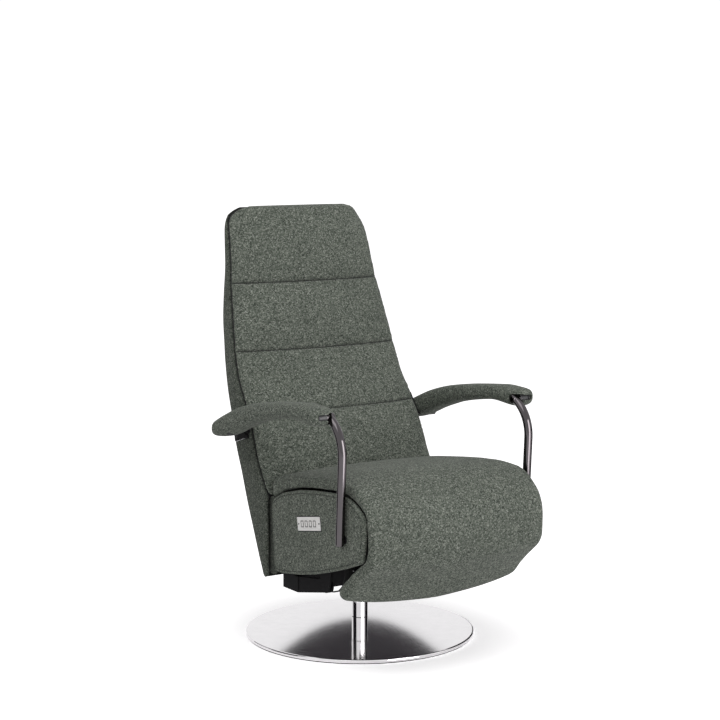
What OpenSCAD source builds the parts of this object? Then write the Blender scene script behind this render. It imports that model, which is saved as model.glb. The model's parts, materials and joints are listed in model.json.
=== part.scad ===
/* [Base] */
// Diameter of the round floor plate
plate_d = 620; // [520:10:700]
// Thickness of the floor plate
plate_t = 10; // [8:1:14]
// Radius that rounds the rim of the plate
plate_rim_r = 3.5; // [2:0.5:3.5]
// Height of the glide ring under the plate
glide_h = 2; // [1.5:0.5:4]
// Width of the glide ring
glide_w = 14; // [8:1:30]
// Outer diameter of the column
column_d = 43; // [40:1:56]
// Height of the column's fixed foot above the plate
column_foot_h = 32; // [20:1:50]
// Diameter of the spindle that the column turns on
spindle_d = 28; // [22:1:30]
// Thickness of the slip ring between foot and sleeve
slip_ring_t = 2; // [1.5:0.5:4]

/* [Mechanism] */
// Height of the beam's underside above the floor
beam_z = 152; // [145:1:158]
// Length of the beam across the chair
beam_w = 452; // [430:2:456]
// Depth of the beam from front to back
beam_d = 76; // [60:1:78]
// Height of the beam's section
beam_h = 43; // [38:1:44]
// Wall of the beam
beam_wall = 3; // [2:0.5:4]
// Distance from the column's axis forward to the beam's front face
beam_forward = 50; // [48:1:60]
// Thickness of the plates that carry the hinges
plate_steel_t = 6; // [5:0.5:6]
// Distance of the lift axis in front of the column
lift_axis_forward = 200; // [190:1:210]
// Height of the lift axis
lift_axis_z = 200; // [196:1:206]
// Diameter of the lift pins
lift_pin_d = 14; // [10:1:16]
// Diameter of the recline pins
recline_pin_d = 16; // [12:1:18]
// Distance of the recline axis behind the column
recline_axis_back = 80; // [78:1:82]
// Height of the recline axis
recline_axis_z = 265; // [263:1:267]
// Distance of the leg rest's axis in front of the column
leg_axis_forward = 422; // [421:1:424]
// Height of the leg rest's axis
leg_axis_z = 442; // [441:1:443]
// Diameter of the leg rest's hinge pins
leg_pin_d = 12; // [8:1:14]

/* [Seat] */
// Distance between the inner faces of the side panels
seat_w = 518; // [516:1:530]
// Thickness of a side panel
panel_t = 14; // [12:1:15]
// Length of a side panel
panel_l = 444; // [440:1:446]
// Height of a side panel
panel_h = 256; // [250:1:258]
// Height of a side panel's lowest edge
panel_z = 207; // [205:1:210]
// Distance of the panels' rear edge behind the column
panel_back = 6; // [4:1:8]
// Gap between side panel and seat cushion
panel_gap = 4; // [3:0.5:6]
// Width that the seat cushion stands over each panel
seat_overhang = 8; // [4:1:9]
// Crown of the seat cushion at its middle
seat_crown = 9; // [4:1:12]
// Thickness of the seat board
seat_board_t = 12; // [9:1:15]
// Width of a seat rail
rail_w = 30; // [28:1:34]
// Height of a seat rail
rail_h = 40; // [36:1:42]
// Wall of a seat rail
rail_wall = 2.5; // [2:0.5:4]
// Height of the top of the seat rails
rail_top_z = 350; // [348:1:352]
// Diameter of the cross tubes
cross_tube_d = 24; // [20:1:26]

/* [Leg rest] */
// Crown of the leg cushion at its middle
leg_crown = 8; // [4:1:10]
// Drop of the leg cushion's lower edge at its middle
leg_smile = 30; // [10:1:36]
// Thickness of the leg rest's board
leg_board_t = 10; // [8:1:12]
// Depth of the leg cushion from its front to its tip
leg_depth = 165; // [160:1:168]
// Height of the leg cushion at its side
leg_h = 243; // [240:1:246]
// Height of the leg cushion's lowest side edge
leg_low_z = 204; // [202:1:206]
// Half width of the leg cushion
leg_half_w = 262; // [255:1:264]
// Diameter of the leg rest's hinge tube
leg_tube_d = 20; // [18:1:22]

/* [Back] */
// Height of the chair
chair_h = 1147; // [1140:1:1160]
// Height of the back's foot
back_foot_z = 396; // [394:1:400]
// Distance of the back's foot behind the column
back_foot_y = 34; // [32:1:38]
// Distance that the back leans back from foot to top
back_rake = 315; // [305:1:325]
// Half width of the back at its foot
back_foot_half_w = 272; // [268:1:274]
// Depth that the shell reaches down below the back's foot
shell_drop = 215; // [212:1:217]
// Thickness of the back cushion at its edge
back_edge_t = 20; // [15:1:26]
// Crown of the back cushion at its middle
back_crown = 38; // [20:1:45]
// Depth of the sewn channels across the back cushion
back_channel = 13; // [6:1:16]
// Wall of the back shell
shell_wall = 10; // [8:1:12]
// Thickness of the back board
back_board_t = 12; // [9:1:14]

/* [Armrests] */
// Outer diameter of the arm tubes
arm_tube_d = 22; // [20:1:24]
// Wall of the arm tubes
arm_tube_wall = 2; // [1.5:0.5:3]
// Distance of the arm tubes from the middle of the chair
arm_tube_x = 288; // [286:1:292]
// Distance of the lower arm pivots in front of the column
arm_pivot_forward = 353; // [351:1:355]
// Height of the lower arm pivots
arm_pivot_z = 357; // [355:1:359]
// Diameter of the lower arm bolts
arm_bolt_d = 10; // [8:1:12]
// Diameter of the upper arm pins
arm_pin_d = 12; // [10:1:14]
// Radius of the bend in the arm tubes
arm_bend_r = 60; // [50:1:66]
// Forward lean of the arm tubes, in degrees
arm_lean = 3.2; // [2:0.2:5]
// Slope of the arm tubes' top end, in degrees
arm_top_slope = 28; // [25:1:31]
// Width of an armrest pad
armrest_w = 70; // [66:1:80]
// Length of an armrest pad
pad_l = 612; // [600:1:620]
// Height from a pad's lowest to its highest point
pad_h = 146; // [142:1:150]
// Distance of a pad's nose in front of the upper arm pivots
pad_nose = 35; // [32:1:38]
// Depth of a pad's lowest point below the upper arm pivots
pad_fall = 117; // [115:1:119]
// Height of the steel core in an armrest
core_h = 18; // [14:1:20]
// Height of the pads above the lower arm pivots
arm_rise = 300; // [296:1:304]
// Set back of the upper arm pivots from the lower ones
arm_setback = 48; // [44:1:52]

/* [Keypad] */
// Length of the keypad
keypad_l = 110; // [104:1:120]
// Height of the keypad
keypad_h = 33; // [30:1:40]
// Distance that the keypad stands out of the panel
keypad_proud = 3; // [2:0.5:4]
// Distance of the keypad's middle in front of the column
keypad_forward = 187; // [180:1:195]
// Height of the keypad's middle
keypad_z = 367; // [360:1:374]
// Tilt of the keypad, in degrees
keypad_tilt = 10.3; // [0:0.1:15]
// Width of a button
button_w = 14; // [10:1:16]
// Height of a button
button_h = 20; // [14:1:24]
// Distance between buttons
button_pitch = 20; // [18:1:22]
// Travel of a button
button_travel = 1; // [0.5:0.1:1.5]

/* [Actuators] */
// Distance of the recline actuator from the middle of the chair
recline_actuator_x = 110; // [100:1:130]
// Radius of the actuators' rods
rod_r = 7; // [5:0.5:8]
// Radius of the actuators' tubes and eyes
eye_r = 13; // [12.5:0.5:14]
// Width of the actuators' motors
motor_w = 36; // [30:1:40]
// Length of the actuators' motors
motor_l = 70; // [50:1:75]
// Radius of the pins in the ears
ear_pin_r = 5; // [4:0.5:5.5]
// Thickness of an ear
ear_t = 5; // [4:0.5:6]

/* [Fits] */
// Clearance round a pin or shaft that turns
run_clear = 0.05; // [0.02:0.01:0.08]
// Clearance between soft pieces and their neighbours
soft_clear = 0.5; // [0.3:0.1:0.8]
// Clearance at a pivot where a closed linkage is open
open_clear = 0.6; // [0.4:0.1:0.8]
// Play of an actuator's eye round its pin
eye_play = 3.6; // [3.4:0.1:4]
// Clearance round a button
button_clear = 0.2; // [0.15:0.05:0.3]

/* [Hidden] */
round_fn = 96;
pin_fn = 48;

// Overrun of every cut
cut = beam_wall / 3;

// Base and column
plate_top = glide_h + plate_t;
glide_r = plate_d / 2 - plate_rim_r;
spindle_bore_r = spindle_d / 2 + run_clear;
sleeve_z = plate_top + column_foot_h + slip_ring_t;
hub_t = plate_t * 0.8;
hub_z = beam_z - hub_t;
hub_r = column_d * 1.35;
hub_bolt_d = hub_t;
hub_bolt_head_t = hub_t * 0.6;
hub_bolt_ring_r = (hub_r + column_d / 2) / 2;
beam_y = -beam_forward;
beam_top = beam_z + beam_h;
end_cap_t = beam_wall * 2;

// Joint axes, as points in the side view: distance back and height
lift_axis = [-lift_axis_forward, lift_axis_z];
recline_axis = [recline_axis_back, recline_axis_z];
leg_axis = [-leg_axis_forward, leg_axis_z];
arm_low = [-arm_pivot_forward, arm_pivot_z];
arm_high = arm_low + [arm_setback, arm_rise];
arm_rear = recline_axis + [arm_setback, arm_rise];

// Seat frame
seat_half = seat_w / 2;
rail_front = panel_back - panel_l + rail_h + eye_r;
rail_back = panel_back - panel_t;
rail_l = rail_back - rail_front;
hinge_plate_t = plate_steel_t * 5 / 6;
lift_arm_x = seat_half - rail_w - plate_steel_t * 5 / 3;
lift_eye_r = lift_pin_d / 2 + plate_steel_t * 1.5;
recline_eye_r = recline_pin_d;
back_arm_x = seat_half - rail_w / 2;
recline_plate_x = back_arm_x - plate_steel_t * 4 / 3;
leg_plate_x = seat_half - hinge_plate_t * 1.8;
leg_eye_r = leg_pin_d * 11 / 12;
leg_core_half = leg_plate_x - hinge_plate_t * 0.6;
seat_core_half = leg_plate_x - 2 * soft_clear;
knuckle_r = leg_tube_d * 0.75;
groove_r = knuckle_r + 2 * soft_clear;
skin_r = leg_tube_d * 1.3;
front_tube = [rail_front + rail_l * 0.225, rail_top_z - cross_tube_d / 2];
rear_tube = [rail_back - cross_tube_d * 0.7, rail_top_z - cross_tube_d * 0.7];
back_tube = [recline_axis_back + ear_pin_r, back_foot_z - eye_r];
tube_root = [cross_tube_d / 3, 0];

// Actuators
ear_gap = eye_r;
ear_r = eye_r * 0.85;
motor_start = eye_r + ear_r;
lift_foot = [beam_y * 2, beam_z + rod_r * 3];
lift_tip = rear_tube - [0, cross_tube_d * 1.4];
recline_foot = front_tube - [0, beam_d * 1.1];
recline_tip = recline_axis + [0, eye_r * 5];

// Soft pieces
panel_frame = [-panel_l, panel_h];
panel_origin = [panel_back, panel_z];
panel_face = seat_half + panel_t;
panel_edge_r = panel_t * 0.9;
seat_edge_r = seat_overhang * 1.5;
leg_origin = [-leg_axis_forward - leg_depth * 0.26, leg_low_z];
leg_edge_r = leg_tube_d * 0.6;
back_h = chair_h - back_foot_z;
pad_edge_r = armrest_w * 0.12;
bracket_t = shell_wall / 4;
pad_inner_x = back_foot_half_w + bracket_t + soft_clear * 2;
bracket_l = armrest_w * 0.8;
core_x = arm_tube_x + arm_tube_d * 0.68;
core_t = armrest_w * 0.46;
cheek_t = armrest_w / 8;
pin_inset = cheek_t + open_clear;
// Slope of the roof of a pad's mouth, which leaves the tube room when the back is down
mouth_slope = 3;
keypad_sunk = panel_t * 0.6;
keypad_r = keypad_h / 5;
button_r = button_w / 5;
button_lip = keypad_proud / 2;

// The chair's curved lines
// Top line of a side panel from rear to front, as shares of its length and height
panel_top_shares = [
    [-0, 0.742], [0.126, 0.848], [0.297, 0.922], [0.466, 0.965], [0.631, 0.992], [0.709, 1],
    [0.829, 0.988], [0.908, 0.938], [0.975, 0.863], [1, 0.781]];
// Front and bottom line of a side panel back to its rear edge, as the same shares
panel_bottom_shares = [
    [0.995, 0.656], [0.98, 0.5], [0.975, 0.402], [0.791, 0.285], [0.628, 0.195], [0.464, 0.117],
    [0.295, 0.055], [0.119, 0.008], [0.032, 0]];
// Top line of the seat cushion at its side from rear to front, as the same shares
seat_top_shares = [
    [-0.027, 0.895], [-0.023, 0.945], [-0.007, 0.98], [0.104, 1.016], [0.243, 1.047],
    [0.446, 1.094], [0.644, 1.121], [0.791, 1.117], [0.863, 1.094], [0.914, 1.055]];
// Rear and top of the seat cushion's core between the panels, as the same shares
seat_core_shares = [[-0.018, 0.725], [0, 0.82], [0.25, 1], [0.8, 1.05]];
// Front line of the leg cushion at its side from top to tip, as shares of its depth and height
leg_front_shares = [
    [0.164, 0.967], [0.109, 0.963], [0.061, 0.914], [0.024, 0.844], [0, 0.745], [0, 0.621],
    [0.012, 0.498], [0.079, 0.407], [0.2, 0.329], [0.364, 0.247], [0.576, 0.148],
    [0.788, 0.058], [0.93, 0.006]];
// Rear line of the leg cushion at its side from tip to top, as the same shares
leg_rear_shares = [
    [1, 0.033], [0.915, 0.095], [0.727, 0.193], [0.515, 0.309], [0.333, 0.399], [0.212, 0.453],
    [0.152, 0.539], [0.145, 0.724], [0.152, 0.868]];
// Line between back cushion and shell from foot to top, as shares of the back's rake and height
back_line_shares = [
    [0, 0], [0.063, 0.041], [0.168, 0.117], [0.286, 0.225], [0.416, 0.314], [0.54, 0.39],
    [0.629, 0.482], [0.749, 0.634], [0.819, 0.73], [0.908, 0.883], [1, 0.972]];
// Rear line of the shell from its lowest point to its top; below the back's foot its height
// is a share of the shell's drop
shell_rear_shares = [
    [0.089, -1], [0.133, -0.93], [0.213, -0.716], [0.295, -0.42], [0.378, -0.122],
    [0.473, 0.068], [0.578, 0.17], [0.651, 0.257], [0.737, 0.344], [0.79, 0.414],
    [0.844, 0.503], [0.908, 0.593], [0.937, 0.664], [0.962, 0.772], [0.99, 0.881],
    [1.01, 0.947], [1, 0.983]];
// Front line of the shell's side below the back cushion, upwards, as the same shares
shell_foot_shares = [
    [0.025, -0.895], [0, -0.692], [0, -0.395], [0.019, -0.122]];
// Half width of the back over its height, as shares of the shell's drop or the back's height,
// and of the half width at the foot
back_width_shares = [
    [-1.02, 0.978], [-0.913, 1.000], [0.000, 1.000], [0.079, 1.000], [0.150, 1.000],
    [0.281, 0.985], [0.415, 0.963], [0.491, 0.949], [0.638, 0.901], [0.727, 0.871],
    [0.788, 0.838], [0.854, 0.809], [0.911, 0.787], [0.945, 0.761], [0.977, 0.721],
    [0.993, 0.676]];
// Top line of an armrest pad from nose to rear end, as shares of its length and height
pad_top_shares = [
    [0, 0.822], [0.003, 0.904], [0.02, 0.959], [0.049, 0.979], [0.114, 0.993], [0.163, 1],
    [0.212, 0.979], [0.332, 0.925], [0.454, 0.87], [0.562, 0.801], [0.665, 0.712],
    [0.753, 0.61], [0.861, 0.438], [0.948, 0.295], [0.984, 0.205], [0.998, 0.123]];
// Bottom line of an armrest pad from rear end to nose, as the same shares
pad_bottom_shares = [
    [0.993, 0.048], [0.964, 0.007], [0.902, 0.021], [0.846, 0.041], [0.739, 0.144],
    [0.642, 0.281], [0.538, 0.432], [0.479, 0.514], [0.371, 0.596], [0.25, 0.685],
    [0.132, 0.712], [0.033, 0.726], [0.008, 0.747]];
// Middle line of an armrest's core, as the same shares
core_line_shares = [
    [0.078, 0.849], [0.147, 0.849], [0.229, 0.829], [0.392, 0.74], [0.556, 0.603], [0.68, 0.42],
    [0.73, 0.29]];
// Rear line of the leg cushion's core from the hinge tube down, as the leg's shares
leg_back_shares = [[0.305, 0.937], [0.303, 0.807], [0.315, 0.531], [0.4, 0.407], [0.6, 0.296], [0.8, 0.189]];
leg_back_line = placed(leg_back_shares, [leg_depth, leg_h], leg_origin);
// Channels across the back cushion, as shares of its height
channel_shares = [0.281, 0.49, 0.73];

// Direction of a vector, as a vector of length one
function unit(v) = v / norm(v);

// A point at share t between points i and i + 1 of a smooth line
function curve_at(p, i, t) =
    let (a = p[max(i - 1, 0)], b = p[i], c = p[i + 1], d = p[min(i + 2, len(p) - 1)])
    (2 * b + (c - a) * t + (2 * a - 5 * b + 4 * c - d) * t * t
        + (3 * b - a - 3 * c + d) * t * t * t) / 2;

// A smooth line through points, with n steps between each two
function curve(p, n) = concat(
    [for (i = [0:len(p) - 2], k = [0:n - 1]) curve_at(p, i, k / n)],
    [p[len(p) - 1]]);

// Points given as shares, scaled and moved into place
function placed(shares, size, origin) =
    [for (s = shares) [origin[0] + s[0] * size[0], origin[1] + s[1] * size[1]]];

// Points along an arc
function arc(centre, r, from, to, n) =
    [for (k = [0:n]) let (a = from + (to - from) * k / n) centre + r * [cos(a), sin(a)]];

// The corner b between a and c, rounded by r
function fillet(a, b, c, r, n) =
    let (u = unit(a - b), v = unit(c - b), half = acos(u * v) / 2, m = b + unit(u + v) * r / sin(half))
    let (s = b + u * r / tan(half) - m, e = b + v * r / tan(half) - m)
    let (s0 = atan2(s[1], s[0]), turn = (atan2(e[1], e[0]) - s0 + 540) % 360 - 180)
    [for (k = [0:n]) m + r * [cos(s0 + turn * k / n), sin(s0 + turn * k / n)]];

// A closed outline with each corner rounded by its own radius
function rounded(p, r, n = 4) =
    let (c = len(p))
    [for (i = [0:c - 1])
        each (r[i] == 0 ? [p[i]] : fillet(p[(i + c - 1) % c], p[i], p[(i + 1) % c], r[i], n))];

// A closed outline moved outwards at each point by that point's own amount
function grown(p, w) =
    let (c = len(p))
    [for (i = [0:c - 1]) let (d = unit(p[(i + 1) % c] - p[(i + c - 1) % c])) p[i] + [d[1], -d[0]] * w[i]];

// An open line moved sideways by t
function beside(p, t) =
    let (c = len(p))
    [for (i = [0:c - 1]) let (d = unit(p[min(i + 1, c - 1)] - p[max(i - 1, 0)])) p[i] + [d[1], -d[0]] * t];

function reversed(p) = [for (i = [len(p) - 1:-1:0]) p[i]];

// A strip of thickness t with an open line in its middle
function strip(p, t) = concat(beside(p, t / 2), reversed(beside(p, -t / 2)));

// Distance back of a line at height z, from its points in rising order
function across_at(p, z) = lookup(z, [for (q = p) [q[1], q[0]]]);

// A plate's outline from a root line a to b round a point p
function tab(a, b, p, r, n) =
    let (d = p - (a + b) / 2, t = atan2(d[1], d[0]), swap = (a - b) * [d[1], -d[0]] < 0)
    concat([swap ? b : a], arc(p, r, t - 90, t + 90, n), [swap ? a : b]);

// A rectangle about the origin with rounded corners
function plate(w, h, r) = rounded([[w, h] / 2, [-w, h] / 2, [-w, -h] / 2, [w, -h] / 2], [r, r, r, r], 4);

// A solid through closed rings of equal count
module loft(rings) {
    n = len(rings[0]);
    m = len(rings);
    side_faces = [for (j = [0:m - 2], i = [0:n - 1])
        let (a = j * n + i, b = j * n + (i + 1) % n)
        each [[a, a + n, b + n], [a, b + n, b]]];
    first_cap = [for (i = [0:n - 1]) i];
    last_cap = [for (i = [n - 1:-1:0]) (m - 1) * n + i];
    polyhedron([for (r = rings) each r], concat(side_faces, [first_cap], [last_cap]));
}

// Places across a soft piece, each with how far its outline draws in there
function stations(half, r, edge_steps, mid_steps) =
    let (ends = [for (k = [edge_steps:-1:1])
        let (a = 80 * k / edge_steps) [half - r + r * sin(a), r * (1 - cos(a))]])
    concat(
        [for (e = ends) [-e[0], e[1]]],
        [for (k = [0:mid_steps]) [(half - r) * (2 * k / mid_steps - 1), 0]],
        reversed(ends));

// A soft piece across the chair: an outline that swells by crown times each point's weight
module cushion_across(outline, weights, crown, half, edge_r, thin, drops, drop) {
    loft([for (s = stations(half, edge_r, 3, 6))
        let (swell = 1 - pow(s[0] / half, 2))
        let (moves = [for (i = [0:len(outline) - 1]) weights[i] * crown * swell - thin[i] * s[1]])
        let (ring = grown(outline, moves))
        [for (i = [0:len(ring) - 1]) [s[0], ring[i][0], ring[i][1] - drops[i] * drop * swell]]]);
}

// A shape drawn in the side view, extruded across the chair from x over t
module side(x, t) {
    translate([x, 0, 0]) rotate([90, 0, 90]) linear_extrude(t) children();
}

// A round bar across the chair at point p, from x over length l
module bar(p, d, x, l) {
    translate([x, p[0], p[1]]) rotate([0, 90, 0]) cylinder(h = l, d = d, $fn = pin_fn);
}

// Its children on one side of the chair: 1 is the sitter's left, -1 the right
module on_side(s) {
    if (s > 0) children();
    else mirror([1, 0, 0]) children();
}

// Colours as photographed
chrome_look = "Gainsboro";
tube_look = "DimGray";
black_look = "#1c1c20";
fabric_look = "#5d645c";
lining_look = "#2a2a2c";
steel_look = "Silver";
key_look = "#d7d2d0";
wood_look = "BurlyWood";

module glide_ring() {
    color(black_look)
    difference() {
        cylinder(h = glide_h, r = glide_r, $fn = round_fn);
        translate([0, 0, -cut]) cylinder(h = glide_h + 2 * cut, r = glide_r - glide_w, $fn = round_fn);
    }
}

module base_plate() {
    color(chrome_look)
    translate([0, 0, glide_h])
    rotate_extrude($fn = round_fn)
    polygon(concat(
        [[0, 0]],
        arc([plate_d / 2 - plate_rim_r, plate_rim_r], plate_rim_r, -90, 0, 4),
        arc([plate_d / 2 - plate_rim_r, plate_t - plate_rim_r], plate_rim_r, 0, 90, 4),
        [[0, plate_t]]));
}

module column_foot() {
    color(chrome_look)
    translate([0, 0, plate_top])
    difference() {
        cylinder(h = column_foot_h, d = column_d, $fn = round_fn);
        translate([0, 0, -cut]) cylinder(h = column_foot_h + 2 * cut, d = spindle_d, $fn = round_fn);
    }
}

// The spindle stands on the plate and carries the chair on its shoulder ring
module spindle() {
    color(steel_look)
    translate([0, 0, plate_top]) cylinder(h = hub_z - plate_top, d = spindle_d, $fn = round_fn);
}

module slip_ring() {
    color(black_look)
    translate([0, 0, plate_top + column_foot_h])
    difference() {
        cylinder(h = slip_ring_t, d = column_d - slip_ring_t, $fn = round_fn);
        translate([0, 0, -cut]) cylinder(h = slip_ring_t + 2 * cut, r = spindle_bore_r, $fn = round_fn);
    }
}

module column_sleeve() {
    color(chrome_look)
    translate([0, 0, sleeve_z])
    difference() {
        cylinder(h = hub_z - sleeve_z, d = column_d, $fn = round_fn);
        translate([0, 0, -cut]) cylinder(h = hub_z - sleeve_z + 2 * cut, r = spindle_bore_r, $fn = round_fn);
    }
}

module hub_holes(d, sides) {
    for (i = [0:3]) rotate(90 * i + 45) translate([hub_bolt_ring_r, 0, 0]) circle(d = d, $fn = sides);
}

module swivel_hub() {
    color(black_look)
    translate([0, 0, hub_z])
    linear_extrude(hub_t)
    difference() {
        circle(r = hub_r, $fn = round_fn);
        hub_holes(hub_bolt_d, pin_fn);
    }
}

module hub_bolts() {
    color(steel_look) {
        translate([0, 0, hub_z]) linear_extrude(hub_t + beam_wall) hub_holes(hub_bolt_d, pin_fn);
        translate([0, 0, hub_z - hub_bolt_head_t]) linear_extrude(hub_bolt_head_t)
            hub_holes(hub_bolt_d * 1.7, 6);
    }
}

// A box beam across the chair, with ears that carry the lift motor
module mechanism_beam() {
    color(black_look) {
        difference() {
            translate([-beam_w / 2, beam_y, beam_z]) cube([beam_w, beam_d, beam_h]);
            translate([-beam_w / 2 - cut, beam_y + beam_wall, beam_z + beam_wall])
                cube([beam_w + 2 * cut, beam_d - 2 * beam_wall, beam_h - 2 * beam_wall]);
            translate([0, 0, beam_z - cut]) linear_extrude(beam_wall + 2 * cut)
                hub_holes(hub_bolt_d, pin_fn);
        }
        ears(0, [beam_y + beam_wall / 2, beam_z], [beam_y + beam_wall / 2, beam_z + beam_h / 2], lift_foot);
    }
}

module beam_end_caps() {
    color(black_look)
    for (s = [-1, 1]) on_side(s)
        translate([beam_w / 2 - end_cap_t, beam_y + beam_wall, beam_z + beam_wall])
            cube([end_cap_t, beam_d - 2 * beam_wall, beam_h - 2 * beam_wall]);
}

// A plate from the beam forward to the lift axis
module lift_arm() {
    color(black_look)
    side(lift_arm_x, plate_steel_t)
    difference() {
        polygon(concat(
            [[beam_y, beam_z], [beam_y, beam_top]],
            arc(lift_axis, lift_eye_r, 80, 260, 8)));
        translate(lift_axis) circle(r = lift_pin_d / 2 + run_clear, $fn = pin_fn);
    }
}
module lift_arm_left() { on_side(1) lift_arm(); }
module lift_arm_right() { on_side(-1) lift_arm(); }

// Motor, gear head and outer tube of an actuator that lies between two ears
module actuator_body(x, foot, tip, tube_l) {
    color(black_look)
    translate([x, foot[0], foot[1]])
    rotate([atan2(tip[1] - foot[1], tip[0] - foot[0]), 0, 0])
    difference() {
        union() {
            rotate([0, 90, 0]) cylinder(h = 2 * ear_gap, r = eye_r, center = true, $fn = pin_fn);
            rotate([-90, 0, 0]) cylinder(h = tube_l, r = eye_r, $fn = pin_fn);
            translate([0, motor_start, -motor_w / 2]) cube([motor_w, motor_l, motor_w]);
        }
        rotate([0, 90, 0]) cylinder(h = 2 * motor_w, r = ear_pin_r + run_clear, center = true, $fn = pin_fn);
        translate([0, motor_start, 0]) rotate([-90, 0, 0])
            cylinder(h = tube_l, r = rod_r + run_clear, $fn = pin_fn);
    }
}

// Rod of an actuator: an eye with play round its pin, and a shaft into the tube
module actuator_rod(x, foot, tip, shaft_l) {
    color(chrome_look)
    translate([x, tip[0], tip[1]])
    rotate([atan2(tip[1] - foot[1], tip[0] - foot[0]), 0, 0])
    difference() {
        union() {
            rotate([0, 90, 0]) cylinder(h = 2 * ear_gap, r = eye_r, center = true, $fn = pin_fn);
            rotate([90, 0, 0]) cylinder(h = shaft_l, r = rod_r, $fn = pin_fn);
        }
        rotate([0, 90, 0]) cylinder(h = 4 * ear_gap, r = ear_pin_r + eye_play, center = true, $fn = pin_fn);
    }
}

// Two ears from a root line a to b, with a pin at p between them
module ears(x, a, b, p) {
    for (s = [-1, 1]) side(x + s * (ear_gap + run_clear + ear_t / 2) - ear_t / 2, ear_t)
        polygon(tab(a, b, p, ear_r, 6));
    bar(p, 2 * ear_pin_r, x - ear_gap - ear_t, 2 * (ear_gap + ear_t));
}

module lift_motor() {
    actuator_body(0, lift_foot, lift_tip, norm(lift_tip - lift_foot) - 2 * eye_r);
}

module lift_rod() {
    actuator_rod(0, lift_foot, lift_tip, norm(lift_tip - lift_foot) - motor_start - eye_r);
}

module recline_motor() {
    actuator_body(recline_actuator_x, recline_foot, recline_tip, norm(recline_tip - recline_foot) * 0.6);
}

module recline_rod() {
    actuator_rod(recline_actuator_x, recline_foot, recline_tip, norm(recline_tip - recline_foot) * 0.6);
}

// A rail with the plates that carry the leg rest, the lift pin and the recline pin
module seat_rail() {
    root = rail_w / 2;
    rail_z = rail_top_z - rail_h;
    lug_root_z = rail_z + rail_wall / 2;
    front_root = rail_front + root;
    rear_root = rail_back - root;
    color(black_look) {
        difference() {
            translate([seat_half - rail_w, rail_front, rail_z]) cube([rail_w, rail_l, rail_h]);
            translate([seat_half - rail_w + rail_wall, rail_front - cut, rail_z + rail_wall])
                cube([rail_w - 2 * rail_wall, rail_l + 2 * cut, rail_h - 2 * rail_wall]);
        }
        side(leg_plate_x, hinge_plate_t) difference() {
            polygon(tab([front_root, rail_z], [front_root, rail_top_z], leg_axis, leg_eye_r, 8));
            translate(leg_axis) circle(d = leg_pin_d, $fn = pin_fn);
        }
        side(seat_half - rail_w, plate_steel_t) difference() {
            polygon(tab([rail_front * 0.65, lug_root_z], [rail_front * 0.35, lug_root_z],
                lift_axis, lift_eye_r, 8));
            translate(lift_axis) circle(d = lift_pin_d, $fn = pin_fn);
        }
        side(recline_plate_x, plate_steel_t) difference() {
            polygon(tab([rear_root, rail_z], [rear_root, rail_top_z], recline_axis, recline_eye_r, 8));
            translate(recline_axis) circle(d = recline_pin_d, $fn = pin_fn);
        }
    }
}
module seat_rail_left() { on_side(1) seat_rail(); }
module seat_rail_right() { on_side(-1) seat_rail(); }

module front_cross_tube() {
    color(black_look) {
        bar(front_tube, cross_tube_d, rail_w - seat_half, 2 * (seat_half - rail_w));
        ears(recline_actuator_x, front_tube - tube_root, front_tube + tube_root, recline_foot);
    }
}

module rear_cross_tube() {
    color(black_look) {
        bar(rear_tube, cross_tube_d, rail_w - seat_half, 2 * (seat_half - rail_w));
        ears(0, rear_tube - tube_root, rear_tube + tube_root, lift_tip);
    }
}

module seat_board() {
    color(wood_look)
    translate([-seat_core_half, rail_front, rail_top_z]) cube([2 * seat_core_half, rail_l, seat_board_t]);
}

// The seat cushion stands a little over the panels and reaches down between them
module seat_cushion() {
    top = curve(placed(seat_top_shares, panel_frame, panel_origin), 2);
    groove = arc(leg_axis, groove_r, 80, 20, 5);
    under = [for (p = reversed(placed(panel_top_shares, panel_frame, panel_origin)))
        if (p[0] > leg_axis[0] + 2 * knuckle_r) p + [0, panel_gap]];
    ring = concat(top, [leg_axis + skin_r * [cos(80), sin(80)]], groove, under);
    weights = concat([for (p = top) min(1, (panel_back - p[0]) / rail_h + 0.3)], [0.4],
        [for (p = groove) 0], [for (p = under) 0]);
    board_top = rail_top_z + seat_board_t + soft_clear;
    core = concat(
        [[rail_front, board_top], [rail_back + panel_t, board_top]],
        placed(seat_core_shares, panel_frame, panel_origin),
        arc(leg_axis, groove_r, 60, -22, 6));
    color(fabric_look) {
        cushion_across(ring, weights, seat_crown, seat_half + seat_overhang, seat_edge_r,
            [for (p = ring) 1], weights, 0);
        side(-seat_core_half, 2 * seat_core_half) polygon(core);
    }
}

// A side panel with a pocket for the keypad on the sitter's right
module side_panel(has_keypad) {
    outline = concat(
        curve(placed(panel_top_shares, panel_frame, panel_origin), 3),
        curve(placed(panel_bottom_shares, panel_frame, panel_origin), 2),
        [[panel_back, panel_z + panel_edge_r]]);
    color(fabric_look)
    difference() {
        union() {
            side(seat_half, panel_t - panel_edge_r / 4) polygon(outline);
            side(seat_half, panel_t) polygon(grown(outline, [for (p = outline) -panel_edge_r / 3]));
        }
        bar(arm_low, arm_bolt_d, seat_half - cut, panel_t + 2 * cut);
        if (has_keypad)
            side(seat_half + panel_t - keypad_sunk, panel_t) on_keypad()
                polygon(plate(keypad_l, keypad_h, keypad_r));
    }
}
module side_panel_left() { on_side(1) side_panel(false); }
module side_panel_right() { on_side(-1) side_panel(true); }

module lift_pins() {
    color(steel_look)
    for (s = [-1, 1]) on_side(s)
        bar(lift_axis, lift_pin_d, lift_arm_x - plate_steel_t / 2,
            seat_half - rail_w + plate_steel_t * 1.5 - lift_arm_x);
}

module recline_pins() {
    color(steel_look)
    for (s = [-1, 1]) on_side(s)
        bar(recline_axis, recline_pin_d, recline_plate_x, back_arm_x + plate_steel_t - recline_plate_x);
}

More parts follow.
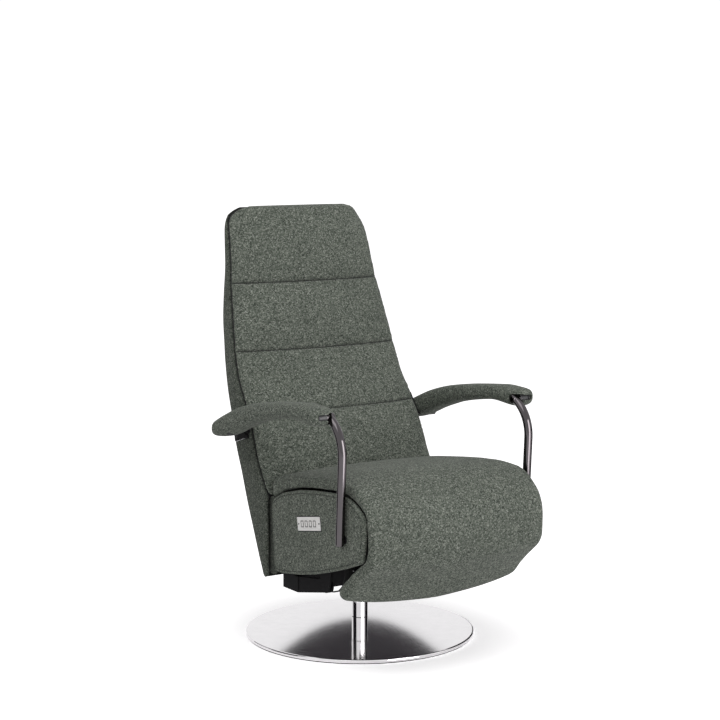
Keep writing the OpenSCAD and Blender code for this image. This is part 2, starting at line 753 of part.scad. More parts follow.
// A tubular motor through the leg rest's hinge tube
module leg_motor() {
    color(steel_look)
    bar(leg_axis, leg_pin_d, -leg_plate_x - hinge_plate_t, 2 * (leg_plate_x + hinge_plate_t));
}

module arm_pivot_bolts() {
    color(black_look)
    for (s = [-1, 1]) on_side(s) {
        bar(arm_low, arm_bolt_d, seat_half, arm_tube_x + arm_tube_d / 2 - seat_half);
        bar(arm_low, arm_bolt_d * 2, panel_face,
            arm_tube_x - arm_tube_d / 2 - run_clear - panel_face);
    }
}

module control_box() {
    color(black_look)
    translate([-motor_w, rail_front + rail_l * 0.3, rail_top_z - rail_h])
        cube([rail_h * 3, rail_l * 0.25, rail_h]);
}

// Drawn on the outer face of the panel, level with the keypad
module on_keypad() {
    translate([-keypad_forward, keypad_z]) rotate(-keypad_tilt) children();
}

module keypad_housing() {
    hole = [button_w, button_h] + [1, 1] * 2 * button_clear;
    recess = hole + [1, 1] * 2 * button_lip;
    color(key_look)
    on_side(-1)
    difference() {
        side(panel_face - keypad_sunk, keypad_sunk + keypad_proud) on_keypad()
            polygon(plate(keypad_l, keypad_h, keypad_r));
        for (i = [-1.5:1.5]) {
            side(seat_half, panel_t + 2 * keypad_proud) on_keypad() translate([i * button_pitch, 0])
                polygon(plate(hole[0], hole[1], button_r));
            side(seat_half, panel_t - keypad_proud / 2) on_keypad() translate([i * button_pitch, 0])
                polygon(plate(recess[0], recess[1], button_r));
        }
    }
}

// Button i counts from the front; its flange holds it behind the housing's face, and it stands
// out of that face by a little more than its travel
module button(i) {
    flange_x = panel_face - keypad_proud / 2 - button_clear - button_lip;
    color(key_look)
    on_side(-1) {
        side(flange_x, panel_face + keypad_proud + 1.3 * button_travel - flange_x) on_keypad()
            translate([i * button_pitch, 0]) polygon(plate(button_w, button_h, button_r));
        side(flange_x, button_lip) on_keypad() translate([i * button_pitch, 0])
            polygon(plate(button_w + 2 * button_lip, button_h + 2 * button_lip, button_r));
    }
}
module button_1() { button(-1.5); }
module button_2() { button(-0.5); }
module button_3() { button(0.5); }
module button_4() { button(1.5); }

module leg_hinge_tube() {
    color(black_look)
    difference() {
        bar(leg_axis, leg_tube_d, -leg_core_half, 2 * leg_core_half);
        bar(leg_axis, leg_pin_d + 2 * run_clear, -leg_core_half - cut, 2 * (leg_core_half + cut));
    }
}

module leg_board() {
    color(wood_look)
    side(-leg_core_half + rail_w, 2 * (leg_core_half - rail_w))
        polygon(strip(
            beside([for (i = [1:5]) leg_back_line[i]], -leg_board_t / 2 - soft_clear), leg_board_t));
}

// The padded frame that turns with the hinge tube and carries the leg cushion
module leg_frame() {
    rear = placed(leg_rear_shares, [leg_depth, leg_h], leg_origin);
    color(lining_look)
    difference() {
        side(-leg_core_half, 2 * leg_core_half)
            polygon(concat(
                arc(leg_axis, knuckle_r, 155, -20, 12),
                [for (i = [0:4]) leg_back_line[i]],
                [for (i = [3:8]) rear[i] + [2 * soft_clear, 2 * soft_clear]]));
        bar(leg_axis, leg_tube_d, -leg_half_w, 2 * leg_half_w);
    }
}

module leg_cushion() {
    front = placed(leg_front_shares, [leg_depth, leg_h], leg_origin);
    rear = placed(leg_rear_shares, [leg_depth, leg_h], leg_origin);
    tip = leg_origin[0] + leg_depth * 0.7;
    weights = concat(
        [for (p = front) min(1, (leg_axis_z - p[1]) / leg_tube_d / 2)],
        [for (p = rear) 0]);
    thin = concat(
        [for (p = front) p[0] < tip ? 1 : 0.3],
        [for (p = rear) p[0] > tip ? 0.3 : 0.6]);
    drops = concat(
        [for (p = front) max(0, min(1, (p[0] + leg_axis_forward) / leg_depth * 1.3))],
        [for (i = [0:len(rear) - 1]) max(0, 1 - i / 3)]);
    color(fabric_look)
    cushion_across(concat(front, rear), weights, leg_crown, leg_half_w, leg_edge_r, thin, drops, leg_smile);
}

// Points of the back's side view, given as shares that change their scale at the back's foot
function on_back(shares) = [for (s = shares)
    [back_foot_y + s[0] * back_rake, back_foot_z + s[1] * (s[1] < 0 ? shell_drop : back_h)]];

back_line = curve(on_back(back_line_shares), 2);
shell_rear = on_back(shell_rear_shares);
shell_foot = on_back(shell_foot_shares);
back_widths = [for (s = back_width_shares)
    [back_foot_z + s[0] * (s[0] < 0 ? shell_drop : back_h), back_foot_half_w * s[1]]];

// Half width of the back at height z
function back_half(z) = lookup(z, back_widths);

// Outline of the back seen from the front, drawn in by t at its sides and top
function back_front(t) =
    let (right = [for (w = back_widths) [w[1] - t, w[0] - (w[0] > chair_h - back_h / 10 ? t : 0)]])
    concat(right, reversed([for (p = right) [-p[0], p[1]]]));

// What lies within the back's front outline drawn in by t, and within a side outline
module back_solid(side_outline, t) {
    intersection() {
        side(-back_foot_half_w, 2 * back_foot_half_w) polygon(side_outline);
        translate([0, 2 * back_rake, 0]) rotate([90, 0, 0]) linear_extrude(3 * back_rake)
            polygon(back_front(t));
    }
}

// A tub open to the front, closed by the back board
module back_shell() {
    outer = concat(curve(shell_rear, 2), reversed(back_line), reversed(shell_foot));
    inner_rear = [for (p = shell_rear) if (p[1] > shell_rear[1][1]) p - [shell_wall, 0]];
    inner_foot = shell_rear[0] + [shell_wall / 2, shell_wall * 1.5];
    ahead = [[back_foot_y, chair_h], [-back_rake, chair_h], [-back_rake, shell_rear[0][1]]];
    color(fabric_look)
    difference() {
        back_solid(outer, 0);
        back_solid(concat([inner_foot], inner_rear, ahead), shell_wall);
    }
}

module back_board() {
    top = chair_h - back_h / 10;
    line = beside([for (p = back_line) if (p[1] < top) p], back_board_t / 2 + soft_clear);
    color(wood_look)
    back_solid(strip(line, back_board_t), shell_wall);
}

// A plate from the recline axis up behind the board, whose rear face it is bolted to
module back_arm() {
    foot = recline_axis;
    board_rear = beside(back_line, back_board_t + 1.7 * soft_clear);
    color(black_look)
    side(back_arm_x, plate_steel_t)
    difference() {
        polygon(concat(
            arc(foot, recline_eye_r, 170, 340, 10),
            [for (i = [5:8]) shell_rear[i] - [shell_wall + rail_wall * 4, 0]],
            reversed([for (i = [2:8]) board_rear[i]])));
        translate(foot) circle(r = recline_pin_d / 2 + run_clear, $fn = pin_fn);
    }
}
module back_arm_left() { on_side(1) back_arm(); }
module back_arm_right() { on_side(-1) back_arm(); }

module back_cross_tube() {
    color(black_look) {
        bar(back_tube, cross_tube_d, -back_arm_x, 2 * back_arm_x);
        ears(recline_actuator_x, back_tube + tube_root, back_tube - tube_root, recline_tip);
    }
}

// Rings one above the other; each swells forward and dips at the sewn channels
module back_cushion() {
    steps = 26;
    foot_share = 0.003;
    heights = [for (k = [0:steps]) foot_share + (1 - 2 * foot_share) * k / steps];
    across_shares = [-1, -0.985, -0.94, -0.84, -0.66, -0.42, -0.14, 0.14, 0.42, 0.66, 0.84, 0.94, 0.985, 1];
    edge = [for (u = across_shares) pow(1 - abs(u), 0.28)];
    color(fabric_look)
    loft([for (h = heights)
        let (z = back_foot_z + h * back_h)
        let (w = back_half(z) - soft_clear)
        let (root = across_at(back_line, z) - 2 * soft_clear - max(0, h - 0.96) * back_rake)
        let (end = sqrt(max(0.02, min(1, h / 0.04) * min(1, (1 - h) / 0.05))))
        let (dip = max([for (c = channel_shares) exp(-pow((h - c) / 0.02, 2))]))
        let (low = min(1, 0.1 + 6.4 * h))
        [for (i = [0:len(edge) - 1])
            let (u = across_shares[i], crown = low * (1 - u * u) * (back_crown - dip * back_channel))
            [u * w, root - end * (back_edge_t * edge[i] + crown), z]]]);
}

// A plate beside the shell with the pin that carries an armrest's rear end; two screws with
// spacers hold it to the shell's side
module arm_bracket() {
    color(black_look) {
        side(back_foot_half_w, bracket_t) polygon(tab(
            arm_rear + [bracket_l, bracket_l / 3], arm_rear + [bracket_l / 2, bracket_l],
            arm_rear, ear_r, 8));
        bar(arm_rear, 2 * ear_pin_r, back_foot_half_w, core_x + core_t - back_foot_half_w);
        for (s = [[0.7, 0.3], [0.5, 0.7]])
            let (p = arm_rear + bracket_l * s, face = back_half(p[1] - ear_pin_r) + run_clear)
            bar(p, ear_pin_r, face, back_foot_half_w + bracket_t + soft_clear / 2 - face);
    }
}
module arm_bracket_left() { on_side(1) arm_bracket(); }
module arm_bracket_right() { on_side(-1) arm_bracket(); }

// Upright, bend and top end of an arm tube, with radius r, and over long at the foot by e
module arm_tube_run(r, e) {
    up = [-sin(arm_lean), cos(arm_lean)];
    top = [cos(arm_top_slope), sin(arm_top_slope)];
    gap = arm_high - arm_low;
    rise = (gap[1] * top[0] - gap[0] * top[1]) / (up[1] * top[0] - up[0] * top[1]);
    corner = arm_low + up * rise;
    bend = 90 + arm_lean - arm_top_slope;
    set_in = arm_bend_r * tan(bend / 2);
    foot = arm_tube_d * 0.7 + e;
    translate([arm_tube_x, arm_low[0], arm_low[1]]) rotate([arm_lean, 0, 0]) {
        translate([0, 0, -foot]) cylinder(h = rise - set_in + foot, r = r, $fn = pin_fn);
        translate([0, arm_bend_r, rise - set_in]) rotate([90, 0, -90]) {
            rotate_extrude(angle = bend, $fn = round_fn)
                translate([arm_bend_r, 0]) circle(r = r + run_clear, $fn = pin_fn);
            rotate([0, 0, bend]) translate([arm_bend_r, 0, 0]) rotate([-90, 0, 0])
                cylinder(h = norm(arm_high - corner) - set_in, r = r, $fn = pin_fn);
        }
    }
}

module arm_tube() {
    color(tube_look)
    difference() {
        union() {
            arm_tube_run(arm_tube_d / 2, 0);
            bar(arm_high, arm_tube_d, arm_tube_x - arm_tube_d / 2, core_x + core_t - pin_inset - arm_tube_x);
        }
        arm_tube_run(arm_tube_d / 2 - arm_tube_wall, cut);
        bar(arm_high, arm_pin_d + 2 * run_clear, seat_half, armrest_w * 2);
        bar(arm_low, arm_bolt_d + 2 * run_clear, seat_half, armrest_w * 2);
    }
}
module arm_tube_left() { on_side(1) arm_tube(); }
module arm_tube_right() { on_side(-1) arm_tube(); }

pad_frame = [pad_l, pad_h];
pad_origin = arm_high - [pad_nose, pad_fall];
core_line = concat(placed(core_line_shares, pad_frame, pad_origin), [arm_rear]);
pad_top = placed(pad_top_shares, pad_frame, pad_origin);
pad_bottom = placed(pad_bottom_shares, pad_frame, pad_origin);

// Outline of the core's cheek round the front pin, grown by t
function cheek(t) = tab(
    core_line[1] - [0, core_h / 2 + t], core_line[1] + [0, core_h / 2 + t], arm_high, arm_tube_d / 2 + t, 8);

// Steel core of an armrest: bar, eye for the bracket's pin, cheek and front pin
module armrest_core() {
    cheek_x = core_x + core_t - cheek_t;
    color(steel_look)
    difference() {
        union() {
            side(core_x, core_t) polygon(strip(curve(core_line, 2), core_h));
            bar(arm_rear, core_h * 1.1, core_x, core_t);
            side(cheek_x, cheek_t) polygon(cheek(0));
            bar(arm_high, arm_pin_d, arm_tube_x - arm_tube_d / 2,
                cheek_x - arm_tube_x + arm_tube_d / 2 + cut);
        }
        bar(arm_rear, 2 * (ear_pin_r + open_clear), core_x - cut, core_t + 2 * cut);
    }
}
module armrest_core_left() { on_side(1) armrest_core(); }
module armrest_core_right() { on_side(-1) armrest_core(); }

// A boxed pad round the core, with a mouth at the nose for the tube's barrel
module armrest_pad() {
    outline = concat(reversed(curve(pad_top, 1)), reversed(pad_bottom));
    mouth_r = arm_tube_d / 2 + 2 * open_clear;
    mouth_l = pad_l / 5;
    mouth_front = arm_high[0] - mouth_l;
    gap = 2 * soft_clear;
    pocket = concat([core_line[0] + gap * unit(core_line[0] - core_line[1])], curve(core_line, 2));
    x0 = pad_inner_x;
    color(fabric_look)
    difference() {
        translate([x0 + armrest_w / 2, 0, 0])
            loft([for (s = stations(armrest_w / 2, pad_edge_r, 3, 2))
                [for (p = grown(outline, [for (q = outline) -s[1]])) [s[0], p[0], p[1]]]]);
        side(core_x - soft_clear, core_t + gap) polygon(strip(pocket, core_h + gap));
        bar(arm_rear, core_h * 1.1 + gap, core_x - soft_clear, core_t + gap);
        bar(arm_rear, 2 * (ear_pin_r + 2 * open_clear), x0 - cut, core_x - x0 + cut);
        side(x0 - cut, core_x + core_t - x0 + soft_clear) polygon(concat(
            arc(arm_high, mouth_r, -90, 90, 10),
            [[mouth_front, arm_high[1] + mouth_r + mouth_l * tan(mouth_slope)]],
            [[mouth_front, arm_high[1] - mouth_r * 2.5]]));
        side(core_x + core_t - cheek_t - soft_clear, cheek_t + gap) polygon(cheek(gap));
    }
}
module armrest_pad_left() { on_side(1) armrest_pad(); }
module armrest_pad_right() { on_side(-1) armrest_pad(); }

glide_ring();
base_plate();
column_foot();
spindle();
slip_ring();
column_sleeve();
swivel_hub();
hub_bolts();
mechanism_beam();
beam_end_caps();
lift_arm_left();
lift_arm_right();
lift_motor();
lift_rod();
seat_rail_left();
seat_rail_right();
front_cross_tube();
rear_cross_tube();
seat_board();
seat_cushion();
side_panel_left();
side_panel_right();
lift_pins();
recline_pins();
arm_pivot_bolts();
control_box();
keypad_housing();
button_1();
button_2();
button_3();
button_4();
leg_motor();
recline_motor();
recline_rod();
leg_hinge_tube();
leg_frame();
leg_board();
leg_cushion();
back_shell();
back_board();
back_arm_left();
back_arm_right();
back_cross_tube();
back_cushion();
arm_bracket_left();
arm_bracket_right();
arm_tube_left();
arm_tube_right();
armrest_core_left();
armrest_core_right();
armrest_pad_left();
armrest_pad_right();
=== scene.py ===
import bpy
import bmesh
import json
import math
import numpy as np
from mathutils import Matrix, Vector, noise


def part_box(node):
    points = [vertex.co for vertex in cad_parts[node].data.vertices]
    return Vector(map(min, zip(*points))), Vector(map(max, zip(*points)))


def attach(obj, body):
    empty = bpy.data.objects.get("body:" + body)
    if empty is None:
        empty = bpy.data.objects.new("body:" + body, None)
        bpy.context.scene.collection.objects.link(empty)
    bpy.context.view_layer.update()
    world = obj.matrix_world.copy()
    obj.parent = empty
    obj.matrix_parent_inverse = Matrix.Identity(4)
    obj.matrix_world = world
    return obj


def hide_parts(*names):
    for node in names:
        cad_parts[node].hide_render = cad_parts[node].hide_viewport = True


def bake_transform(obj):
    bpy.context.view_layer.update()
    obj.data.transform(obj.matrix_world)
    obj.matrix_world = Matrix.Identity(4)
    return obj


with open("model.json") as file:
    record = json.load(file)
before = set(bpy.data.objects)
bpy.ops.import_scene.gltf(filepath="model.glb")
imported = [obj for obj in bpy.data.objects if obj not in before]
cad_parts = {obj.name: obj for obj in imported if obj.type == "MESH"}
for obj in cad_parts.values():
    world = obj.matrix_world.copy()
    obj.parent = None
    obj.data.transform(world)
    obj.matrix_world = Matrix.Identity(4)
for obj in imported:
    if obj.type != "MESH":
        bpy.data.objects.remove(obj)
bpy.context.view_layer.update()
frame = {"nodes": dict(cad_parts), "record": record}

# Camera: stands ahead of the chair at the sitter's right, a little above the back, and looks down.
# It was fitted to the photograph on the floor plate, the column and the chair's outline.
look_down, look_aside = 7.232, -33.048
camera = bpy.data.objects.new("camera", bpy.data.cameras.new("camera"))
bpy.context.scene.collection.objects.link(camera)
camera.data.sensor_width = 36
camera.data.lens = 92.11
camera.location = (-2.66749, -4.10133, 1.36801)
camera.rotation_euler = (math.radians(90 - look_down), 0, math.radians(look_aside))
camera.data.clip_end = 60
bpy.context.scene.camera = camera
bpy.context.scene.view_settings.view_transform = "Standard"


# Studio: a white floor that only shadows darken, an even white surround, and soft lamps that
# keep front and top faces alike and the side panel a little darker, as in the photograph.
def new_material(name):
    material = bpy.data.materials.new(name)
    material.use_nodes = True
    nodes = material.node_tree.nodes
    nodes.clear()
    out = nodes.new("ShaderNodeOutputMaterial")
    return material, nodes, material.node_tree.links, out


def mesh_object(name, verts, faces, smooth=True):
    mesh = bpy.data.meshes.new(name)
    mesh.from_pydata([tuple(v) for v in verts], [], [tuple(f) for f in faces])
    mesh.validate()
    mesh.update()
    for polygon in mesh.polygons:
        polygon.use_smooth = smooth
    obj = bpy.data.objects.new(name, mesh)
    bpy.context.scene.collection.objects.link(obj)
    return obj


floor_half = 30.0
floor = mesh_object("floor", [(-floor_half, -floor_half, 0), (floor_half, -floor_half, 0),
                              (floor_half, floor_half, 0), (-floor_half, floor_half, 0)], [(0, 1, 2, 3)])
floor_white, nodes, links, out = new_material("floor_white")
floor_diffuse = nodes.new("ShaderNodeBsdfDiffuse")
floor_diffuse.inputs["Color"].default_value = (0.95, 0.945, 0.95, 1)
floor_glow = nodes.new("ShaderNodeEmission")
floor_glow.inputs["Color"].default_value = (1, 0.99, 1, 1)
floor_coords = nodes.new("ShaderNodeTexCoord")
floor_reach = nodes.new("ShaderNodeVectorMath")
floor_reach.operation = "LENGTH"
links.new(floor_coords.outputs["Object"], floor_reach.inputs[0])
floor_fade = nodes.new("ShaderNodeMapRange")
for socket, value in (("From Min", 0.30), ("From Max", 0.62), ("To Min", 0.45), ("To Max", 0.85)):
    floor_fade.inputs[socket].default_value = value
links.new(floor_reach.outputs["Value"], floor_fade.inputs[0])
floor_paths = nodes.new("ShaderNodeLightPath")
floor_seen = nodes.new("ShaderNodeMath")
floor_seen.operation = "MAXIMUM"
links.new(floor_paths.outputs["Is Camera Ray"], floor_seen.inputs[0])
links.new(floor_paths.outputs["Is Glossy Ray"], floor_seen.inputs[1])
floor_strength = nodes.new("ShaderNodeMath")
floor_strength.operation = "MULTIPLY"
links.new(floor_fade.outputs[0], floor_strength.inputs[0])
links.new(floor_seen.outputs[0], floor_strength.inputs[1])
links.new(floor_strength.outputs[0], floor_glow.inputs["Strength"])
floor_sum = nodes.new("ShaderNodeAddShader")
links.new(floor_diffuse.outputs[0], floor_sum.inputs[0])
links.new(floor_glow.outputs[0], floor_sum.inputs[1])
links.new(floor_sum.outputs[0], out.inputs["Surface"])
floor.data.materials.append(floor_white)

world = bpy.data.worlds.new("surround")
bpy.context.scene.world = world
world.use_nodes = True
nodes, links = world.node_tree.nodes, world.node_tree.links
nodes.clear()
out = nodes.new("ShaderNodeOutputWorld")
paths = nodes.new("ShaderNodeLightPath")
seen_or_shiny = nodes.new("ShaderNodeMath")
seen_or_shiny.operation = "MAXIMUM"
links.new(paths.outputs["Is Camera Ray"], seen_or_shiny.inputs[0])
links.new(paths.outputs["Is Glossy Ray"], seen_or_shiny.inputs[1])
even_light = nodes.new("ShaderNodeBackground")
even_light.inputs["Color"].default_value = (1, 1, 1, 1)
even_light.inputs["Strength"].default_value = 0.4
seen_white = nodes.new("ShaderNodeBackground")
seen_white.inputs["Color"].default_value = (1, 1, 1, 1)
seen_white.inputs["Strength"].default_value = 1.05
world_mix = nodes.new("ShaderNodeMixShader")
links.new(seen_or_shiny.outputs[0], world_mix.inputs[0])
links.new(even_light.outputs[0], world_mix.inputs[1])
links.new(seen_white.outputs[0], world_mix.inputs[2])
links.new(world_mix.outputs[0], out.inputs["Surface"])


def soft_lamp(name, place, aim, width, height, power):
    data = bpy.data.lights.new(name, "AREA")
    data.shape = "RECTANGLE"
    data.size, data.size_y, data.energy = width, height, power
    lamp = bpy.data.objects.new(name, data)
    lamp.location = place
    lamp.rotation_euler = (Vector(aim) - Vector(place)).to_track_quat("-Z", "Y").to_euler()
    bpy.context.scene.collection.objects.link(lamp)


soft_lamp("front_lamp", (0.5, -4.6, 2.0), (0, 0, 0.6), 3.2, 2.4, 70)
soft_lamp("top_lamp", (-1.5, -0.6, 4.0), (0, 0, 0.4), 2.4, 2.4, 44)


# Studio cards, seen only in polished metal: a dark one hangs behind the chair for the floor plate,
# a dark one stands at each side and a bright one in front, for the column and the arm tubes.
def studio_card(name, points, tone, strength):
    card = mesh_object(name, points, [tuple(range(len(points)))], smooth=False)
    card_look, card_nodes, card_links, card_out = new_material(name + "_look")
    card_skin = card_nodes.new("ShaderNodeEmission")
    card_skin.inputs["Color"].default_value = tone + (1,)
    card_skin.inputs["Strength"].default_value = strength
    card_links.new(card_skin.outputs[0], card_out.inputs["Surface"])
    card.data.materials.append(card_look)
    card.visible_camera = False
    card.visible_diffuse = False
    card.visible_shadow = False
    card.visible_transmission = False


away = Vector((0.5453, 0.8382, 0))
across = Vector((0.8382, -0.5453, 0))
card_reach, card_foot, card_sag, card_rise = 0.95, 0.246, 1.75, Vector((0, 0, 0.5))
hanging = [away * card_reach + across * u + Vector((0, 0, card_foot + card_sag * u * u))
           for u in np.linspace(-0.34, 0.34, 25)]
studio_card("dark_card_back", hanging + [hanging[-1] + card_rise, hanging[0] + card_rise],
            (0.038, 0.035, 0.039), 1.0)


def standing_card(name, start, end, foot, top, tone, strength):
    studio_card(name, [start + (foot,), end + (foot,), end + (top,), start + (top,)], tone, strength)


side_tone = (0.012, 0.011, 0.013)
standing_card("dark_card_right", (0.72, -0.62), (0.80, 0.55), 0, 0.62, side_tone, 1.0)
standing_card("dark_card_left", (-0.66, -0.10), (-0.46, 0.60), 0, 0.6, side_tone, 1.0)
standing_card("bright_card", (-0.25, -2.0), (0.75, -1.9), 0.005, 1.6, (1, 0.98, 0.98), 9.0)


# Base, column and mechanism: a polished steel floor plate on a rubber ring, a chromed column that
# turns on it, and lacquered black steel under the seat, welded and bolted. These solids are shown
# as the frame gives them, each with the finish of its material slot or one of its own.
def plain_material(name, color, rough, metallic=0.0, shine=0.5, bump_scale=40.0, bump_depth=0.0):
    material, nodes, links, out = new_material(name)
    bsdf = nodes.new("ShaderNodeBsdfPrincipled")
    bsdf.inputs["Metallic"].default_value = metallic
    bsdf.inputs["Specular IOR Level"].default_value = shine
    coords = nodes.new("ShaderNodeTexCoord")
    wear = nodes.new("ShaderNodeTexNoise")
    wear.inputs["Scale"].default_value = bump_scale
    wear.inputs["Detail"].default_value = 4.0
    links.new(coords.outputs["Object"], wear.inputs["Vector"])
    tone = nodes.new("ShaderNodeValToRGB")
    tone.color_ramp.elements[0].color = tuple(c * 0.93 for c in color) + (1,)
    tone.color_ramp.elements[1].color = tuple(min(1.0, c * 1.07) for c in color) + (1,)
    links.new(wear.outputs[0], tone.inputs[0])
    links.new(tone.outputs[0], bsdf.inputs["Base Color"])
    rough_range = nodes.new("ShaderNodeMapRange")
    rough_range.inputs["To Min"].default_value = rough * 0.85
    rough_range.inputs["To Max"].default_value = rough * 1.15
    links.new(wear.outputs[0], rough_range.inputs[0])
    links.new(rough_range.outputs[0], bsdf.inputs["Roughness"])
    if bump_depth:
        bump = nodes.new("ShaderNodeBump")
        bump.inputs["Strength"].default_value = 0.4
        bump.inputs["Distance"].default_value = bump_depth
        links.new(wear.outputs[0], bump.inputs["Height"])
        links.new(bump.outputs[0], bsdf.inputs["Normal"])
    links.new(bsdf.outputs[0], out.inputs["Surface"])
    return material


slot_of = {entry["node"]: entry["material_slot"] for entry in frame["record"]["subparts"]}


def finished(look, *node_names):
    for node_name in node_names:
        for slot in frame["nodes"][node_name].material_slots:
            slot.link = "OBJECT"
            slot.material = look


def slot_finished(slot_name, look):
    finished(look, *[node_name for node_name in frame["nodes"] if slot_of[node_name] == slot_name])


chrome = plain_material("chrome", (0.80, 0.79, 0.80), 0.04, metallic=1.0)
plate_polish = plain_material("plate_polish", (0.73, 0.715, 0.73), 0.09, metallic=1.0)
black_metal = plain_material("black_metal", (0.006, 0.0055, 0.0065), 0.65, shine=0.12, bump_scale=500.0,
                             bump_depth=0.0001)
steel = plain_material("steel", (0.55, 0.55, 0.56), 0.28, metallic=1.0)
black_plastic = plain_material("black_plastic", (0.008, 0.008, 0.009), 0.65, shine=0.12, bump_scale=700.0,
                               bump_depth=0.0001)
rubber = plain_material("rubber", (0.02, 0.02, 0.02), 0.8, shine=0.3)
for slot_name, look in (("chrome", chrome), ("rubber", rubber), ("steel", steel),
                        ("black_metal", black_metal), ("black_plastic", black_plastic)):
    slot_finished(slot_name, look)
finished(plate_polish, "base_plate")
finished(black_metal, "lift_pins", "recline_pins")


# Seat and leg rest: one sewn cover, filled with foam, that runs over the seat board, round its front
# edge and down the leg rest. Rings across the chair follow the side outline. They swell towards the
# middle, round off at the sides and hang lower at the middle of the leg rest's tip.
# painted_shade_factor scales a copy of the weave darker, to paint shade on a part; 1.0 leaves it as it is.
def fabric_material(name, painted_shade_factor=1.0):
    """A heathered weave: fine cells set light and dark yarns, a finer pattern gives the bump,
    and a slow noise keeps broad areas from looking painted."""
    material, nodes, links, out = new_material(name)
    coords = nodes.new("ShaderNodeTexCoord")
    cells = nodes.new("ShaderNodeTexVoronoi")
    cells.inputs["Scale"].default_value = 380.0
    links.new(coords.outputs["Object"], cells.inputs["Vector"])
    spread = nodes.new("ShaderNodeSeparateColor")
    links.new(cells.outputs["Color"], spread.inputs[0])
    yarn = nodes.new("ShaderNodeValToRGB")
    ramp = yarn.color_ramp
    ramp.elements[0].position = 0.0
    ramp.elements[0].color = (0.036 * painted_shade_factor, 0.0425 * painted_shade_factor, 0.035 * painted_shade_factor, 1)
    ramp.elements[1].position = 1.0
    ramp.elements[1].color = (0.33 * painted_shade_factor, 0.345 * painted_shade_factor, 0.307 * painted_shade_factor, 1)
    for place, shade in ((0.25, (0.086, 0.100, 0.081)), (0.68, (0.141, 0.157, 0.131)),
                         (0.92, (0.222, 0.239, 0.203))):
        stop = ramp.elements.new(place)
        stop.color = tuple(c * painted_shade_factor for c in shade) + (1,)
    links.new(spread.outputs[0], yarn.inputs[0])
    slow = nodes.new("ShaderNodeTexNoise")
    slow.inputs["Scale"].default_value = 9.0
    slow.inputs["Detail"].default_value = 3.0
    links.new(coords.outputs["Object"], slow.inputs["Vector"])
    slow_range = nodes.new("ShaderNodeMapRange")
    slow_range.inputs["To Min"].default_value = 0.9
    slow_range.inputs["To Max"].default_value = 1.1
    links.new(slow.outputs[0], slow_range.inputs[0])
    shade_mix = nodes.new("ShaderNodeMix")
    shade_mix.data_type = "RGBA"
    shade_mix.blend_type = "MULTIPLY"
    shade_mix.inputs[0].default_value = 1.0
    links.new(yarn.outputs[0], shade_mix.inputs[6])
    links.new(slow_range.outputs[0], shade_mix.inputs[7])
    weave = nodes.new("ShaderNodeTexNoise")
    weave.inputs["Scale"].default_value = 620.0
    weave.inputs["Detail"].default_value = 2.0
    links.new(coords.outputs["Object"], weave.inputs["Vector"])
    bump = nodes.new("ShaderNodeBump")
    bump.inputs["Strength"].default_value = 0.45
    bump.inputs["Distance"].default_value = 0.0012
    links.new(weave.outputs[0], bump.inputs["Height"])
    bsdf = nodes.new("ShaderNodeBsdfPrincipled")
    bsdf.inputs["Roughness"].default_value = 0.92
    bsdf.inputs["Specular IOR Level"].default_value = 0.15
    bsdf.inputs["Sheen Weight"].default_value = 0.08
    bsdf.inputs["Sheen Roughness"].default_value = 0.5
    links.new(shade_mix.outputs[2], bsdf.inputs["Base Color"])
    links.new(bump.outputs[0], bsdf.inputs["Normal"])
    links.new(bsdf.outputs[0], out.inputs["Surface"])
    return material


def applied(obj, modifier_type, **settings):
    modifier = obj.modifiers.new(modifier_type.lower(), modifier_type)
    for key, value in settings.items():
        setattr(modifier, key, value)
    bpy.context.view_layer.update()
    shape = obj.evaluated_get(bpy.context.evaluated_depsgraph_get())
    mesh = bpy.data.meshes.new_from_object(shape)
    obj.modifiers.clear()
    obj.data = mesh


def coords(mesh):
    flat = np.empty(len(mesh.vertices) * 3)
    mesh.vertices.foreach_get("co", flat)
    return flat.reshape(-1, 3)


def set_coords(mesh, points):
    mesh.vertices.foreach_set("co", points.ravel())
    mesh.update()


fill_cell, fill_pressure, fill_frames = 0.005, 4.0, 20


def plumped(obj, cap, held):
    """Fill a sewn cover by cloth simulation: even cells, air pressure against the held seams,
    a capped movement and one subdivision."""
    applied(obj, "REMESH", mode="VOXEL", voxel_size=fill_cell, use_smooth_shade=True)
    applied(obj, "SMOOTH", factor=0.5, iterations=2)
    before = coords(obj.data)
    group = obj.vertex_groups.new(name="held")
    group.add([int(k) for k in np.nonzero(held(before))[0]], 1.0, "REPLACE")
    cloth = obj.modifiers.new("fill", "CLOTH")
    cloth.settings.quality = 4
    cloth.settings.mass = 0.3
    cloth.settings.tension_stiffness = 12
    cloth.settings.compression_stiffness = 12
    cloth.settings.shear_stiffness = 4
    cloth.settings.bending_stiffness = 0.4
    cloth.settings.use_pressure = True
    cloth.settings.uniform_pressure_force = fill_pressure
    cloth.settings.vertex_group_mass = "held"
    cloth.settings.effector_weights.gravity = 0
    cloth.point_cache.frame_start = 1
    cloth.point_cache.frame_end = fill_frames
    for number in range(1, fill_frames + 1):
        bpy.context.scene.frame_set(number)
    shape = obj.evaluated_get(bpy.context.evaluated_depsgraph_get())
    moved = coords(shape.to_mesh()) - before
    shape.to_mesh_clear()
    length = np.linalg.norm(moved, axis=1)
    share = np.where(length > cap, cap / np.maximum(length, 1e-9), 1.0)
    obj.modifiers.clear()
    obj.vertex_groups.clear()
    bpy.context.scene.frame_set(1)
    set_coords(obj.data, before + moved * share[:, None])
    applied(obj, "SUBSURF", levels=1, render_levels=1)
    for polygon in obj.data.polygons:
        polygon.use_smooth = True


